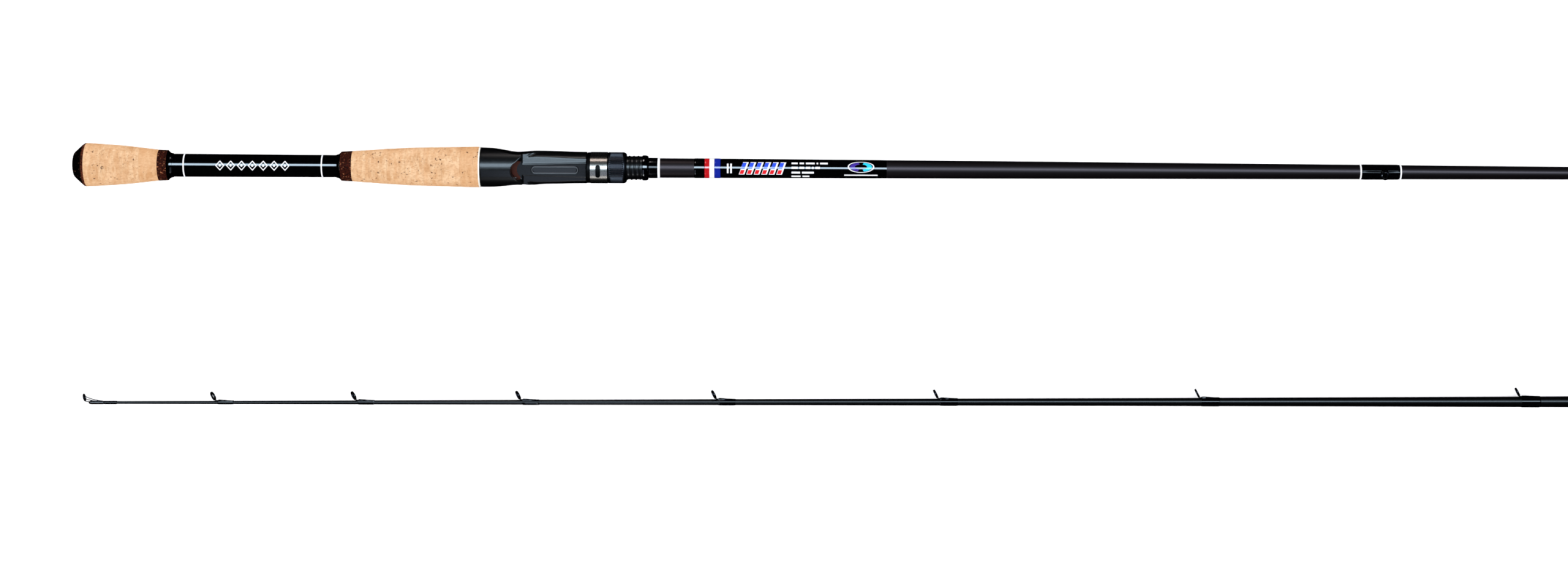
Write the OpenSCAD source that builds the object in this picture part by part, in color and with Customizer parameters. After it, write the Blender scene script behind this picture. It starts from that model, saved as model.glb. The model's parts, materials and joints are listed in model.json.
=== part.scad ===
// Two-section casting rod with cork grips and a trigger reel seat, taken apart and laid side by side.
// The butt section lies on the X axis with the reel side up; the tip section lies beside it, tip at the left.
// All sizes are in millimetres.

/* [Butt grip] */
// Length of the dark cap on the butt
cap_len = 9.4; // [6:0.1:14]
// Radius of the cap's flat end face
cap_face_r = 8.8; // [6:0.1:12]
// Radius of the grip at the cap
butt_r = 15.8; // [13:0.1:18]
// Length of the rear cork grip
rear_cork_len = 52.2; // [40:0.1:70]
// Number of cork rings in the rear grip
rear_cork_count = 4; // [2:1:6]
// Length of a dark composite ring
burl_len = 7; // [4:0.1:12]
// Length of a winding check between grip and blank
check_len = 3.6; // [2:0.1:6]

/* [Main grip] */
// Where the main grip starts, from the butt face
main_start = 189.4; // [150:0.1:260]
// Length of the main cork grip
main_cork_len = 91.5; // [70:0.1:130]
// Number of cork rings in the main grip
main_cork_count = 7; // [4:1:9]
// Glue line between two cork rings
glue_gap = 0.08; // [0.05:0.01:0.2]

/* [Reel seat] */
// Height of the reel foot bed above the rod's axis
bed_z = 8.9; // [8.7:0.05:9.5]
// Height of the fixed hood's top above the rod's axis
hood_top_r = 14.4; // [13.6:0.1:15]
// Length of the seat body up to the moving hood
seat_body_len = 76.8; // [70:0.1:90]
// Crest radius of the barrel's thread
thread_r = 8.8; // [8.5:0.05:9.2]
// Pitch of the barrel's thread
thread_pitch = 3.2; // [2:0.1:4]
// Depth of the trigger below the rod's axis
trigger_depth = 34.6; // [28:0.1:40]
// Width of the trigger
trigger_w = 8.4; // [6:0.1:10]

/* [Moving hood and nut] */
// Length of the hood with its liner flange
hood_len = 14.4; // [12:0.1:18]
// Length of the lock nut
nut_len = 13.4; // [10:0.1:16]
// Outside radius of hood and nut
hood_r = 11.35; // [11:0.05:12]
// Number of grip ribs around the nut
rib_count = 44; // [30:2:60]

/* [Butt blank] */
// Where the butt blank ends, from the butt face
butt_len = 1143; // [1000:1:1250]
// Spigot radius
spigot_r = 3.4; // [3:0.05:3.8]
// Spigot length that stands out of the butt section
spigot_out = 50; // [35:1:60]
// Place of the stripper guide along the butt section
stripper_x = 942; // [880:1:1000]

/* [Tip section] */
// Length of the tip section with its tip-top
tip_len = 1143; // [1100:1:1250]
// Places of the running guides, from the end of the tip-top
guide_at = [98.9, 203.4, 325.8, 471.4, 636.4, 830.7, 1068.7];
// Outside radius of a running guide's ring
guide_r = 3.5; // [3:0.1:5]
// Lean of the running guides towards the tip
guide_lean = 27; // [0:1:40]

/* [Layout] */
// Place of the tip-top's end along X
tip_x = -8.9; // [-40:1:40]
// Distance between the two sections
tip_y = -186.7; // [-260:1:-60]
// Turn of the tip section against the butt section
tip_splay = 0.37; // [0:0.01:3]

/* [Hidden] */
// Facets on round parts
$fn = 96;
fn_wire = 24;

// Stations along the butt section
rear_cork_x = cap_len;
rear_burl_x = rear_cork_x + rear_cork_len;
rear_check_x = rear_burl_x + burl_len - 0.5;
rear_trim_x = 79.6;
front_trim_x = 178.9;
main_burl_x = main_start + check_len;
main_cork_x = main_burl_x + burl_len + 1;
seat_trim_x = main_cork_x + main_cork_len;
seat_x = seat_trim_x + 1;
body_end_x = seat_x + seat_body_len;
hood_x = body_end_x + 0.4;
nut_x = hood_x + hood_len + 0.2;
collar_x = 410;
collar_len = 4.4;
winding_x = collar_x + collar_len;
winding_len = 6.6;
bands_x = 447.4;
waist_x = seat_x + 27;
mouth_x = seat_x + 22.6;
spigot_in = 45;
spigot_in_r = spigot_r - 0.4;

// Outside radius of the butt blank at a few stations, and of the tip blank measured from its tip
butt_taper = [[3, 8.44], [188, 7.98], [430, 7.05], [650, 6.42], [780, 5.87], [900, 5.37], [1072, 4.64],
              [butt_len, 4.35]];
tip_start = 5;
tip_taper = [[tip_start, 1.02], [200, 1.5], [500, 2.3], [780, 2.95], [1000, 3.65], [tip_len, 4.22]];
butt_wall = 1.1;
tip_wall = 0.75;
tip_bore = 0.35;
socket_depth = 54;
socket_r = spigot_r + 0.05;

// Radius of a cork grip at a station
rear_grip = [[0, 15.8], [6, 15.45], [20, 14.56], [31, 13.7], [41, 12.5], [rear_cork_len, 11.2]];
main_grip = [[0, 11.0], [11, 11.75], [20, 12.45], [29, 12.94], [38, 13.42], [46.6, 13.8], [55.4, 14.05],
             [73, 14.36], [84, 14.68], [main_cork_len, 14.76]];
// Radius of the seat body along its length, measured from its rear face
seat_outline = [[0, 14.3], [2.6, 14.12], [9.2, 13.82], [13.6, 13.2], [18, 12.5], [22.4, 11.6], [26.8, 11.22],
                [31, 11.4], [35.6, 11.75], [40, 12.05], [46.6, 11.99], [57.6, 11.79], [64.2, 11.55],
                [seat_body_len, 11.37]];

// ---- Shared shapes ----

// Value of a table [[station, value], ...] at any station
function at(table, x) = lookup(x, table);
// Stations of a table that lie strictly between two stations
function inner_stations(table, a, b) = [for (p = table) if (p[0] > a && p[0] < b) p[0]];
// Outline of the stretch a..b of a table, as [radius, station] points
function stretch(table, a, b, grow = 0) =
    concat([[at(table, a) + grow, a]],
           [for (x = inner_stations(table, a, b)) [at(table, x) + grow, x]],
           [[at(table, b) + grow, b]]);
function reversed(list) = [for (i = [len(list) - 1:-1:0]) list[i]];
// The same outline moved along the rod
function moved(points, x) = [for (p = points) [p[0], p[1] + x]];

// Turns an outline of [radius, station] points about the rod's axis
module turned(points) {
    rotate([0, 90, 0]) rotate_extrude() polygon(points);
}

// A straight round bar or hole along the rod
module bar(x0, x1, r) {
    translate([x0, 0, 0]) rotate([0, 90, 0]) cylinder(h = x1 - x0, r = r);
}

// A sleeve that fits the blank between two stations, over a glue line if gap is given
module sleeve(taper, x0, x1, thick, ramp = 0, gap = 0) {
    inside = stretch(taper, x0, x1, gap);
    turned(concat(inside, ramp > 0
        ? [[at(taper, x1) + 0.12, x1], [at(taper, x1 - ramp) + thick, x1 - ramp],
           [at(taper, x0 + ramp) + thick, x0 + ramp], [at(taper, x0) + 0.12, x0]]
        : [[at(taper, x1) + thick, x1], [at(taper, x0) + thick, x0]]));
}

// A solid core as wide as the blank between two stations, or wider by grow
module core(taper, x0, x1, grow = 0) {
    turned(concat([[0, x1], [0, x0]], stretch(taper, x0, x1, grow)));
}

// A ring whose bore fits the blank and whose outside runs straight from r0 to r1
module grip_ring(x0, x1, r0, r1) {
    turned(concat(stretch(butt_taper, x0, x1), [[r1, x1], [r0, x0]]));
}

// A glued stack of cork rings, each bored to fit the blank
module cork_stack(x0, length, count, table) {
    step = length / count;
    for (i = [0:count - 1]) {
        a = i * step;
        b = (i + 1) * step - (i < count - 1 ? glue_gap : 0);
        bore = stretch(butt_taper, x0 + a, x0 + b);
        turned(concat(bore, reversed(moved(stretch(table, a, b), x0))));
    }
}

// A round wire between two points
module wire(a, b, r) {
    d = b - a;
    length = norm(d);
    translate(a) rotate([0, acos(d[2] / length), atan2(d[1], d[0])])
        cylinder(h = length, r = r, $fn = fn_wire);
}

// Places the tip section: its own X runs from the tip to the butt end, and its own Z points to the guides
module tip_place() {
    trigger_floor = -trigger_depth + 5;
    translate([tip_x, tip_y, trigger_floor]) rotate([0, 0, tip_splay]) rotate([-90, 0, 0]) children();
}

// ---- Line guides ----

ring_wire = 0.62;
foot_thick = 0.45;
foot_w = 1.9;
wind_thick = 0.22;
cover_h = foot_thick + 0.32;

// Places a ring that stands on height z, leans by lean, and faces along the rod
module ring_place(z, r, lean) {
    translate([-r * sin(lean), 0, z + r * cos(lean)]) rotate([0, 90 - lean, 0]) children();
}

// Round ceramic insert
module ring_insert(r) {
    rotate_extrude() translate([r - 0.1 - ring_wire, 0]) circle(r = ring_wire, $fn = fn_wire);
}

// Metal band that holds the insert
module ring_band(r) {
    difference() {
        translate([0, 0, -0.45]) cylinder(h = 0.9, r = r);
        translate([0, 0, -1]) cylinder(h = 2, r = r - 0.1 - ring_wire);
        ring_insert(r);
    }
}

// Side outline of the neck and foot, from the ring's base at [0, z] back along the blank
module foot_outline(z, length) {
    polygon([[-0.55, z + 0.95], [0.35, z + 1.0], [0.95, z + 0.1], [1.7, foot_thick],
             [length * 0.6, foot_thick], [length, 0.12], [length, -0.5], [0.2, -0.5], [-0.35, z - 0.1]]);
}

// One foot under its winding; it is hollowed to sit on the blank
module guide_foot(z, length) {
    rotate([90, 0, 0]) translate([0, 0, -foot_w / 2]) linear_extrude(foot_w) foot_outline(z, length);
}

guide_base = 0.55;
function foot_len(n) = 10.5 + n * 0.35;
function blank_r(n) = at(tip_taper, guide_at[n]);

// Places the ring of running guide n on the tip section
module running_ring_place(n) {
    translate([guide_at[n], 0, blank_r(n)]) ring_place(guide_base, guide_r, guide_lean) children();
}

// Foot of running guide n, cut to the blank
module running_foot(n) {
    difference() {
        translate([guide_at[n], 0, blank_r(n)]) guide_foot(guide_base, foot_len(n));
        core(tip_taper, guide_at[n] - 5, guide_at[n] + 20);
    }
}

module guide_frame(n) {
    color("#16161a") tip_place() difference() {
        union() {
            running_ring_place(n) ring_band(guide_r);
            running_foot(n);
        }
        running_ring_place(n) ring_insert(guide_r);
        running_ring_place(n) translate([0, 0, -2]) cylinder(h = 4, r = guide_r - 0.1 - ring_wire);
    }
}

module guide_ring(n) {
    color("#303038") tip_place() running_ring_place(n) ring_insert(guide_r);
}

// Room for a foot inside its winding, from the guide's base back along the blank
module foot_room(length) {
    room_w = foot_w + 0.08;
    translate([0, -room_w / 2, -0.8]) cube([length + 0.15, room_w, 0.8 + foot_thick + 0.06]);
}

// Hump of thread over a foot, from start to the winding's end
module foot_cover(start, length) {
    cover_w = foot_w + 0.6;
    rotate([90, 0, 0]) translate([0, 0, -cover_w / 2]) linear_extrude(cover_w)
        polygon([[start + 0.1, -0.6], [start + 0.1, 0.4], [start + 0.5, cover_h],
                 [start + length * 0.7, cover_h - 0.05], [start + length - 0.2, 0.1],
                 [start + length - 0.2, -0.6]]);
}

module guide_winding(n) {
    x0 = guide_at[n] + 1.5;
    length = foot_len(n) + 1.5;
    color("#08080a") tip_place() difference() {
        union() {
            core(tip_taper, x0, x0 + length, wind_thick);
            translate([guide_at[n], 0, blank_r(n)]) foot_cover(1.5, length);
        }
        translate([guide_at[n], 0, blank_r(n)]) foot_room(foot_len(n));
        core(tip_taper, x0 - 1, x0 + length + 1);
    }
}

// ---- Butt grip ----

module butt_cap() {
    color("#1c1a18") difference() {
        turned([[0, 0], [cap_face_r, 0], [15.4, 7.6], [butt_r, 8.3], [butt_r, cap_len], [0, cap_len]]);
        core(butt_taper, 3, 20);
    }
}

module rear_cork_rings() {
    color("#c9a06a") cork_stack(rear_cork_x, rear_cork_len, rear_cork_count, rear_grip);
}

module rear_burl_ring() {
    color("#3a2c22") grip_ring(rear_burl_x, rear_check_x, 11.2, 10.9);
}

module rear_check() {
    color("#0c0c0e") grip_ring(rear_check_x, rear_check_x + check_len, 10.9, 8.75);
}

module rear_trim_ring() {
    color("#f2f2f2") sleeve(butt_taper, rear_trim_x, rear_trim_x + 1.1, 0.22);
}

module front_trim_ring() {
    color("#f2f2f2") sleeve(butt_taper, front_trim_x, front_trim_x + 1.1, 0.22);
}

module grip_check() {
    color("#0c0c0e") grip_ring(main_start, main_start + check_len, 8.4, 10.5);
}

module grip_burl_ring() {
    color("#3a2c22") grip_ring(main_burl_x, main_cork_x, 10.55, 11.0);
}

module main_cork_rings() {
    color("#c9a06a") cork_stack(main_cork_x, main_cork_len, main_cork_count, main_grip);
}

module seat_trim_ring() {
    color("#e8e4da") grip_ring(seat_trim_x, seat_x, 14.6, 14.5);
}

// ---- Reel seat ----

seat_bore_r = 8.0;
barrel_bore_r = 7.5;
barrel_root_r = thread_r - 0.42;
barrel_x = body_end_x;
window_r = 6.6;
lip = 4;
pocket_back = seat_x + 12;
liner = 0.3;
hood_shell = 0.7;
trigger_x = waist_x + 8.2;
panel_x0 = seat_x + 37.1;
panel_len = 33.5;
panel_w = 5.2;
key_w = 2.6;

// Plan of the reel foot bed: a round end under the fixed hood, opening to the front
module bed_plan() {
    translate([mouth_x + window_r, 0]) circle(r = window_r);
    polygon([[mouth_x + window_r, window_r], [mouth_x + 10, 12], [body_end_x + 1, 12],
             [body_end_x + 1, -12], [mouth_x + 10, -12], [mouth_x + window_r, -window_r]]);
}

// Pocket under the fixed hood for the rear end of the reel foot
module foot_pocket(shrink) {
    intersection() {
        translate([pocket_back, -window_r + shrink, bed_z])
            cube([mouth_x + window_r - pocket_back, 2 * (window_r - shrink), 10]);
        bar(pocket_back, mouth_x + window_r, hood_top_r - hood_shell - shrink);
    }
}

// Fixed hood: its top stays level with the grip while its sides follow the waist and slope down to the bed
module hood_bulge() {
    side = [for (p = seat_outline) if (p[0] < 50) [seat_x + p[0], p[1]]];
    intersection() {
        bar(seat_x, mouth_x + 26, hood_top_r);
        linear_extrude(20) polygon(concat(side, reversed([for (p = side) [p[0], -p[1]]])));
        rotate([90, 0, 0]) translate([0, 0, -20]) linear_extrude(40)
            polygon([[seat_x, 0], [mouth_x + 26, 0], [mouth_x + 9.5, bed_z - 0.4],
                     [mouth_x + 1.5, hood_top_r + 0.2], [seat_x, hood_top_r + 0.2]]);
    }
}

// Finger trigger below the seat, cut hollow in front and behind
module trigger() {
    intersection() {
        rotate([90, 0, 0]) translate([0, 0, -10]) linear_extrude(20) {
            difference() {
                polygon([[trigger_x - 17, -9], [trigger_x + 20, -9], [trigger_x + 6, -trigger_depth + 5.2],
                         [trigger_x - 6, -trigger_depth + 5.2]]);
                translate([trigger_x + 19, -26]) circle(r = 15);
                translate([trigger_x - 19.5, -27.2]) circle(r = 15.4);
            }
            translate([trigger_x, -trigger_depth + 4.3]) circle(r = 4.3);
        }
        rotate([90, 0, 90]) linear_extrude(400) {
            translate([0, -trigger_depth + trigger_w / 2]) circle(r = trigger_w / 2);
            polygon([[-trigger_w / 2, -trigger_depth + trigger_w / 2], [-6, -8], [6, -8],
                     [trigger_w / 2, -trigger_depth + trigger_w / 2]]);
        }
    }
}

// Sloping flank on one side of the bed's centre land, side is 1 or -1
module bed_flank(side) {
    mirror([0, side > 0 ? 0 : 1, 0])
        translate([mouth_x + 8, 3.8, bed_z - 0.3]) rotate([-12, 0, 1.7]) cube([60, 14, 6]);
}

// Flat-topped ridges of the barrel's thread
module thread_ridges(x0, x1) {
    for (x = [x0:thread_pitch:x1])
        turned([[barrel_root_r - 0.2, x - 1], [barrel_root_r, x - 1], [thread_r, x - 0.35],
                [thread_r, x + 0.35], [barrel_root_r, x + 1], [barrel_root_r - 0.2, x + 1]]);
}

module panel_plan(grow) {
    r = panel_w / 2 + grow;
    translate([panel_x0 + panel_w / 2, 0]) circle(r = r);
    translate([panel_x0 + panel_len - panel_w / 2, 0]) circle(r = r);
    translate([panel_x0 + panel_w / 2, -r]) square([panel_len - panel_w, 2 * r]);
}

module reel_seat() {
    color("#17171b") difference() {
        union() {
            difference() {
                union() {
                    turned(concat([[0, seat_x]], moved([for (p = seat_outline) [p[1], p[0]]], seat_x),
                                  [[0, body_end_x]]));
                    hood_bulge();
                }
                translate([0, 0, bed_z]) linear_extrude(20) bed_plan();
                foot_pocket(0);
                bed_flank(1);
                bed_flank(-1);
            }
            trigger();
            bar(barrel_x - 1, collar_x, barrel_root_r);
            thread_ridges(barrel_x + 2, collar_x - 1);
        }
        bar(seat_x - 1, body_end_x - 4, seat_bore_r);
        bar(body_end_x - 5, collar_x + 1, barrel_bore_r);
        translate([barrel_x + 0.4, -key_w / 2 - 0.1, -thread_r - 1]) cube([32, key_w + 0.2, 1.5]);
        translate([0, 0, bed_z - 0.4]) linear_extrude(2) panel_plan(0.05);
    }
}

module fixed_hood_liner() {
    color("#4a2a1c") {
        difference() {
            foot_pocket(0);
            foot_pocket(liner);
            translate([mouth_x + window_r, 0, bed_z - 1]) cylinder(h = 10, r = window_r);
        }
        translate([0, 0, bed_z]) linear_extrude(0.35) difference() {
            translate([mouth_x + window_r, 0]) circle(r = window_r - 0.02);
            translate([mouth_x + window_r + lip, 0]) circle(r = window_r);
            translate([mouth_x + window_r, -10]) square([20, 20]);
        }
    }
}

module seat_panel() {
    color("#2b2d33") translate([0, 0, bed_z - 0.4]) linear_extrude(0.6) panel_plan(0);
}

module seat_arbors() {
    color("#2a2a2a") for (x = [seat_x + 3, body_end_x - 18])
        turned(concat(stretch(butt_taper, x, x + 12), [[seat_bore_r, x + 12], [seat_bore_r, x]]));
}

module seat_collar() {
    x1 = collar_x + collar_len;
    color("#0e0e10") turned(concat(stretch(butt_taper, collar_x, x1),
        [[8.3, x1], [9.1, x1 - 0.9], [9.1, collar_x + 0.3], [8.9, collar_x]]));
}

// ---- Moving hood and lock nut ----

hood_gap = 0.07;
liner_bore_r = thread_r + hood_gap;
liner_flange = 2.2;
shell = 0.8;
bulge_r = 10.5;
bulge_z = hood_top_r - bulge_r;
nut_collar_r = 9.9;
nut_collar_len = 3;

// Cross-section of the hood: round, with a raised top that clears the reel foot
module hood_section(inset) {
    circle(r = hood_r - inset);
    translate([-bulge_z, 0]) circle(r = bulge_r - inset);
}

module hood_solid(x0, x1, inset) {
    translate([x0, 0, 0]) rotate([0, 90, 0]) linear_extrude(x1 - x0) hood_section(inset);
}

module moving_hood() {
    x0 = hood_x + liner_flange;
    x1 = hood_x + hood_len;
    color("#b8b0a4") difference() {
        hood_solid(x0, x1, 0);
        hood_solid(x0 - 1, x1 + 1, shell);
        // oval window across the top
        translate([x0 + 5.6, 0, 0]) linear_extrude(30) {
            translate([0, 3]) circle(r = 1.7);
            translate([0, -3]) circle(r = 1.7);
            translate([-1.7, -3]) square([3.4, 6]);
        }
    }
}

module hood_liner() {
    x1 = hood_x + hood_len;
    color("#0f0f11") difference() {
        union() {
            hood_solid(hood_x, hood_x + liner_flange, 0.25);
            hood_solid(hood_x + liner_flange, x1, shell);
            bar(x1 - 1, x1 + nut_collar_len, nut_collar_r);
        }
        bar(hood_x - 1, x1 + nut_collar_len + 1, liner_bore_r);
        // pocket for the front end of the reel foot
        intersection() {
            translate([hood_x - 1, -5.2, 0]) cube([hood_len - 1, 10.4, 20]);
            translate([0, 0, bulge_z]) bar(hood_x - 1, x1, bulge_r - shell - 0.05);
        }
    }
    // key that runs in the barrel's groove
    color("#0f0f11") intersection() {
        translate([hood_x, -key_w / 2, -liner_bore_r - 0.6])
            cube([hood_len, key_w, 0.6 + liner_bore_r - 8.42]);
        bar(hood_x, hood_x + hood_len, liner_bore_r + 0.5);
    }
}

module lock_nut() {
    x1 = nut_x + nut_len;
    rib_x0 = nut_x + 1.6;
    rib_x1 = nut_x + nut_len - 2.4;
    color("#0d0d0f") difference() {
        turned([[0, nut_x], [hood_r - 0.45, nut_x], [hood_r - 0.1, nut_x + 0.4], [hood_r - 0.1, x1 - 1.6],
                [hood_r - 1.4, x1], [0, x1]]);
        bar(nut_x - 1, x1 + 1, liner_bore_r);
        bar(nut_x - 1, nut_x + nut_collar_len + 0.2, nut_collar_r + 0.08);
        for (i = [0:rib_count - 1])
            rotate([i * 360 / rib_count, 0, 0]) translate([rib_x0, -0.35, hood_r - 0.55])
                cube([rib_x1 - rib_x0, 0.7, 2]);
    }
}

// ---- Butt blank and what is wound on it ----

module butt_blank() {
    bore_x = butt_len - spigot_in;
    color("#1b1a20") turned(concat(
        stretch(butt_taper, 3, butt_len),
        [[spigot_in_r, butt_len], [spigot_in_r, bore_x], [spigot_in_r - 0.4, bore_x]],
        [[at(butt_taper, 780) - butt_wall - 0.8, 780], [at(butt_taper, 3) - butt_wall, 3]]));
}

module spigot() {
    x0 = butt_len - spigot_in;
    x1 = butt_len + spigot_out;
    color("#141418") turned([[1.6, x0], [spigot_in_r, x0], [spigot_in_r, butt_len + 0.4],
                             [spigot_r, butt_len + 0.4], [spigot_r, x1 - 0.5], [spigot_r - 0.5, x1], [1.6, x1]]);
}

module seat_winding() {
    color("#08080a") sleeve(butt_taper, winding_x, winding_x + winding_len, 0.3);
}

module seat_winding_trim() {
    color("#f2f2f2") sleeve(butt_taper, winding_x + winding_len, winding_x + winding_len + 1.8, 0.25);
}

band_ends = [bands_x, bands_x + 7.5, bands_x + 11, bands_x + 14.5, bands_x + 18.9];

module colour_band(i) {
    sleeve(butt_taper, band_ends[i], band_ends[i + 1], 0.18);
}

module black_band() {
    color("#08080a") colour_band(0);
}

module red_band() {
    color("#b3151c") colour_band(1);
}

module white_band() {
    color("#f4f4f4") colour_band(2);
}

module blue_band() {
    color("#12309a") colour_band(3);
}

stripper_r = 4.0;
stripper_lean = 30;
stripper_base = 0.6;
stripper_foot = 11;
stripper_wind = 13.8;

// The two feet of the stripper guide, cut to the blank
module stripper_feet() {
    z = at(butt_taper, stripper_x);
    difference() {
        translate([stripper_x, 0, z]) {
            mirror([1, 0, 0]) guide_foot(stripper_base, stripper_foot);
            translate([-0.6, -foot_w / 2, -0.5]) cube([stripper_foot, foot_w, 0.5 + foot_thick]);
        }
        core(butt_taper, stripper_x - 20, stripper_x + 20);
    }
}

// Places the stripper guide's ring, which leans the other way
module stripper_ring_place() {
    translate([stripper_x, 0, at(butt_taper, stripper_x)]) mirror([1, 0, 0])
        ring_place(stripper_base, stripper_r, stripper_lean) children();
}

module stripper_frame() {
    color("#16161a") difference() {
        union() {
            stripper_ring_place() ring_band(stripper_r);
            stripper_feet();
        }
        stripper_ring_place() ring_insert(stripper_r);
        stripper_ring_place() translate([0, 0, -2]) cylinder(h = 4, r = stripper_r - 0.1 - ring_wire);
    }
}

module stripper_ring() {
    color("#303038") stripper_ring_place() ring_insert(stripper_r);
}

module stripper_winding() {
    color("#08080a") difference() {
        union() {
            core(butt_taper, stripper_x - stripper_wind, stripper_x + stripper_wind, wind_thick);
            translate([stripper_x, 0, at(butt_taper, stripper_x)]) {
                foot_cover(1.6, stripper_wind - 1.7);
                mirror([1, 0, 0]) foot_cover(1.6, stripper_wind - 1.7);
            }
        }
        translate([stripper_x, 0, at(butt_taper, stripper_x)]) {
            foot_room(stripper_foot);
            mirror([1, 0, 0]) foot_room(stripper_foot);
        }
        core(butt_taper, stripper_x - 20, stripper_x + 20);
    }
}

module stripper_trims() {
    color("#f2f2f2") for (x = [stripper_x - stripper_wind - 1.2, stripper_x + stripper_wind])
        sleeve(butt_taper, x, x + 1.2, 0.4);
}

module butt_ferrule_winding() {
    color("#08080a") sleeve(butt_taper, butt_len - 24, butt_len - 1, 0.45, 0.8);
}

// ---- Tip section ----

module tip_blank() {
    socket_x = tip_len - socket_depth;
    color("#1b1a20") tip_place() turned(concat(
        stretch(tip_taper, tip_start, tip_len),
        [[socket_r, tip_len], [socket_r, socket_x], [socket_r - 0.4, socket_x],
         [at(tip_taper, 500) - tip_wall, 500], [tip_bore, 420], [tip_bore, tip_start]]));
}

module tip_ferrule_winding() {
    color("#08080a") tip_place() sleeve(tip_taper, tip_len - 26, tip_len - 1, 0.45, 0.8);
}

module guide_1_frame() { guide_frame(0); }
module guide_2_frame() { guide_frame(1); }
module guide_3_frame() { guide_frame(2); }
module guide_4_frame() { guide_frame(3); }
module guide_5_frame() { guide_frame(4); }
module guide_6_frame() { guide_frame(5); }
module guide_7_frame() { guide_frame(6); }
module guide_1_ring() { guide_ring(0); }
module guide_2_ring() { guide_ring(1); }
module guide_3_ring() { guide_ring(2); }
module guide_4_ring() { guide_ring(3); }
module guide_5_ring() { guide_ring(4); }
module guide_6_ring() { guide_ring(5); }
module guide_7_ring() { guide_ring(6); }
module guide_1_winding() { guide_winding(0); }
module guide_2_winding() { guide_winding(1); }
module guide_3_winding() { guide_winding(2); }
module guide_4_winding() { guide_winding(3); }
module guide_5_winding() { guide_winding(4); }
module guide_6_winding() { guide_winding(5); }
module guide_7_winding() { guide_winding(6); }

tip_ring_r = 2.95;
tip_ring_lean = 12;
tip_ring_z = 1.0;
tube_x0 = 4.4;
tube_x1 = 15.6;
tube_r = 1.35;
tip_glue = 0.01;

module tip_ring_place() {
    translate([2.1, 0, tip_ring_z]) ring_place(0, tip_ring_r, tip_ring_lean) children();
}

module tip_top_frame() {
    side = tip_ring_r - 0.35;
    color("#221c1c") tip_place() difference() {
        union() {
            tip_ring_place() ring_band(tip_ring_r);
            turned([[0, tube_x0], [0.9, tube_x0], [tube_r, tube_x0 + 0.7], [tube_r, tube_x1], [0, tube_x1]]);
            for (y = [-1, 1])
                wire([1.7, y * side, 4.1], [tube_x0 + 7.4, y * 0.75, 1.1], 0.32);
            wire([2.1, 0, 1.15], [tube_x0 + 0.8, 0, 0.1], 0.45);
        }
        core(tip_taper, tip_start, 16, tip_glue);
        tip_ring_place() ring_insert(tip_ring_r);
        tip_ring_place() translate([0, 0, -1.5]) cylinder(h = 3, r = tip_ring_r - 0.1 - ring_wire);
    }
}

module tip_top_ring() {
    color("#303038") tip_place() tip_ring_place() ring_insert(tip_ring_r);
}

module tip_top_winding() {
    color("#08080a") tip_place() sleeve(tip_taper, tube_x1, tube_x1 + 10, 0.3, 0.6, tip_glue);
}

butt_cap();
rear_cork_rings();
rear_burl_ring();
rear_check();
rear_trim_ring();
front_trim_ring();
grip_check();
grip_burl_ring();
main_cork_rings();
seat_trim_ring();
reel_seat();
fixed_hood_liner();
seat_panel();
seat_arbors();
seat_collar();
butt_blank();
spigot();
seat_winding();
seat_winding_trim();
black_band();
red_band();
white_band();
blue_band();
stripper_frame();
stripper_ring();
stripper_winding();
stripper_trims();
butt_ferrule_winding();
moving_hood();
hood_liner();
lock_nut();
tip_blank();
tip_ferrule_winding();
guide_1_frame();
guide_2_frame();
guide_3_frame();
guide_4_frame();
guide_5_frame();
guide_6_frame();
guide_7_frame();
guide_1_ring();
guide_2_ring();
guide_3_ring();
guide_4_ring();
guide_5_ring();
guide_6_ring();
guide_7_ring();
guide_1_winding();
guide_2_winding();
guide_3_winding();
guide_4_winding();
guide_5_winding();
guide_6_winding();
guide_7_winding();
tip_top_frame();
tip_top_ring();
tip_top_winding();
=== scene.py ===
import json
import math

import bmesh
import bpy
import numpy as np
from mathutils import Matrix, Vector


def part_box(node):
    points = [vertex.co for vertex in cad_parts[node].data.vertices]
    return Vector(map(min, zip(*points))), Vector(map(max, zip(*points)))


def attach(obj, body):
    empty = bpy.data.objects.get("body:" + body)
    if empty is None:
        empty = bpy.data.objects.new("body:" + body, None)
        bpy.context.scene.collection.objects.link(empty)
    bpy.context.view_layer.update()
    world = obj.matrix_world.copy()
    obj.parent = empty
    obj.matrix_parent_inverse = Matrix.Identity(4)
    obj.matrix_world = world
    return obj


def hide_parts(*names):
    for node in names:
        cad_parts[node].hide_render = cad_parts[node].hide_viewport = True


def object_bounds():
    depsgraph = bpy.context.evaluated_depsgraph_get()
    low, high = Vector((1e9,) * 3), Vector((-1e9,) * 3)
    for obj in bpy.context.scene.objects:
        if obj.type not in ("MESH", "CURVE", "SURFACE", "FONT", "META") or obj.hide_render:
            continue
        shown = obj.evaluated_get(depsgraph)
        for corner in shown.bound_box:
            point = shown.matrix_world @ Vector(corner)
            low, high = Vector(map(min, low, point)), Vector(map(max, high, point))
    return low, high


# ---- The frame ----

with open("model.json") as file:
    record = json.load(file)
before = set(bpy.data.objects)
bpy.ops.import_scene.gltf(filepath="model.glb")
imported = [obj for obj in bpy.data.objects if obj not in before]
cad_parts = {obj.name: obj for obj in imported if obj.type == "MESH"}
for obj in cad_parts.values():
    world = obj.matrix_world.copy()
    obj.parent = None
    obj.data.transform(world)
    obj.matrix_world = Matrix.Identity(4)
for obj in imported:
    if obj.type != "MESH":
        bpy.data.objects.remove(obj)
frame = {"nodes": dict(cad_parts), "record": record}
cad_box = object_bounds()
NODES = frame["nodes"]
RECORD = frame["record"]
MM = 0.001
TURN = 2 * math.pi


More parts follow.
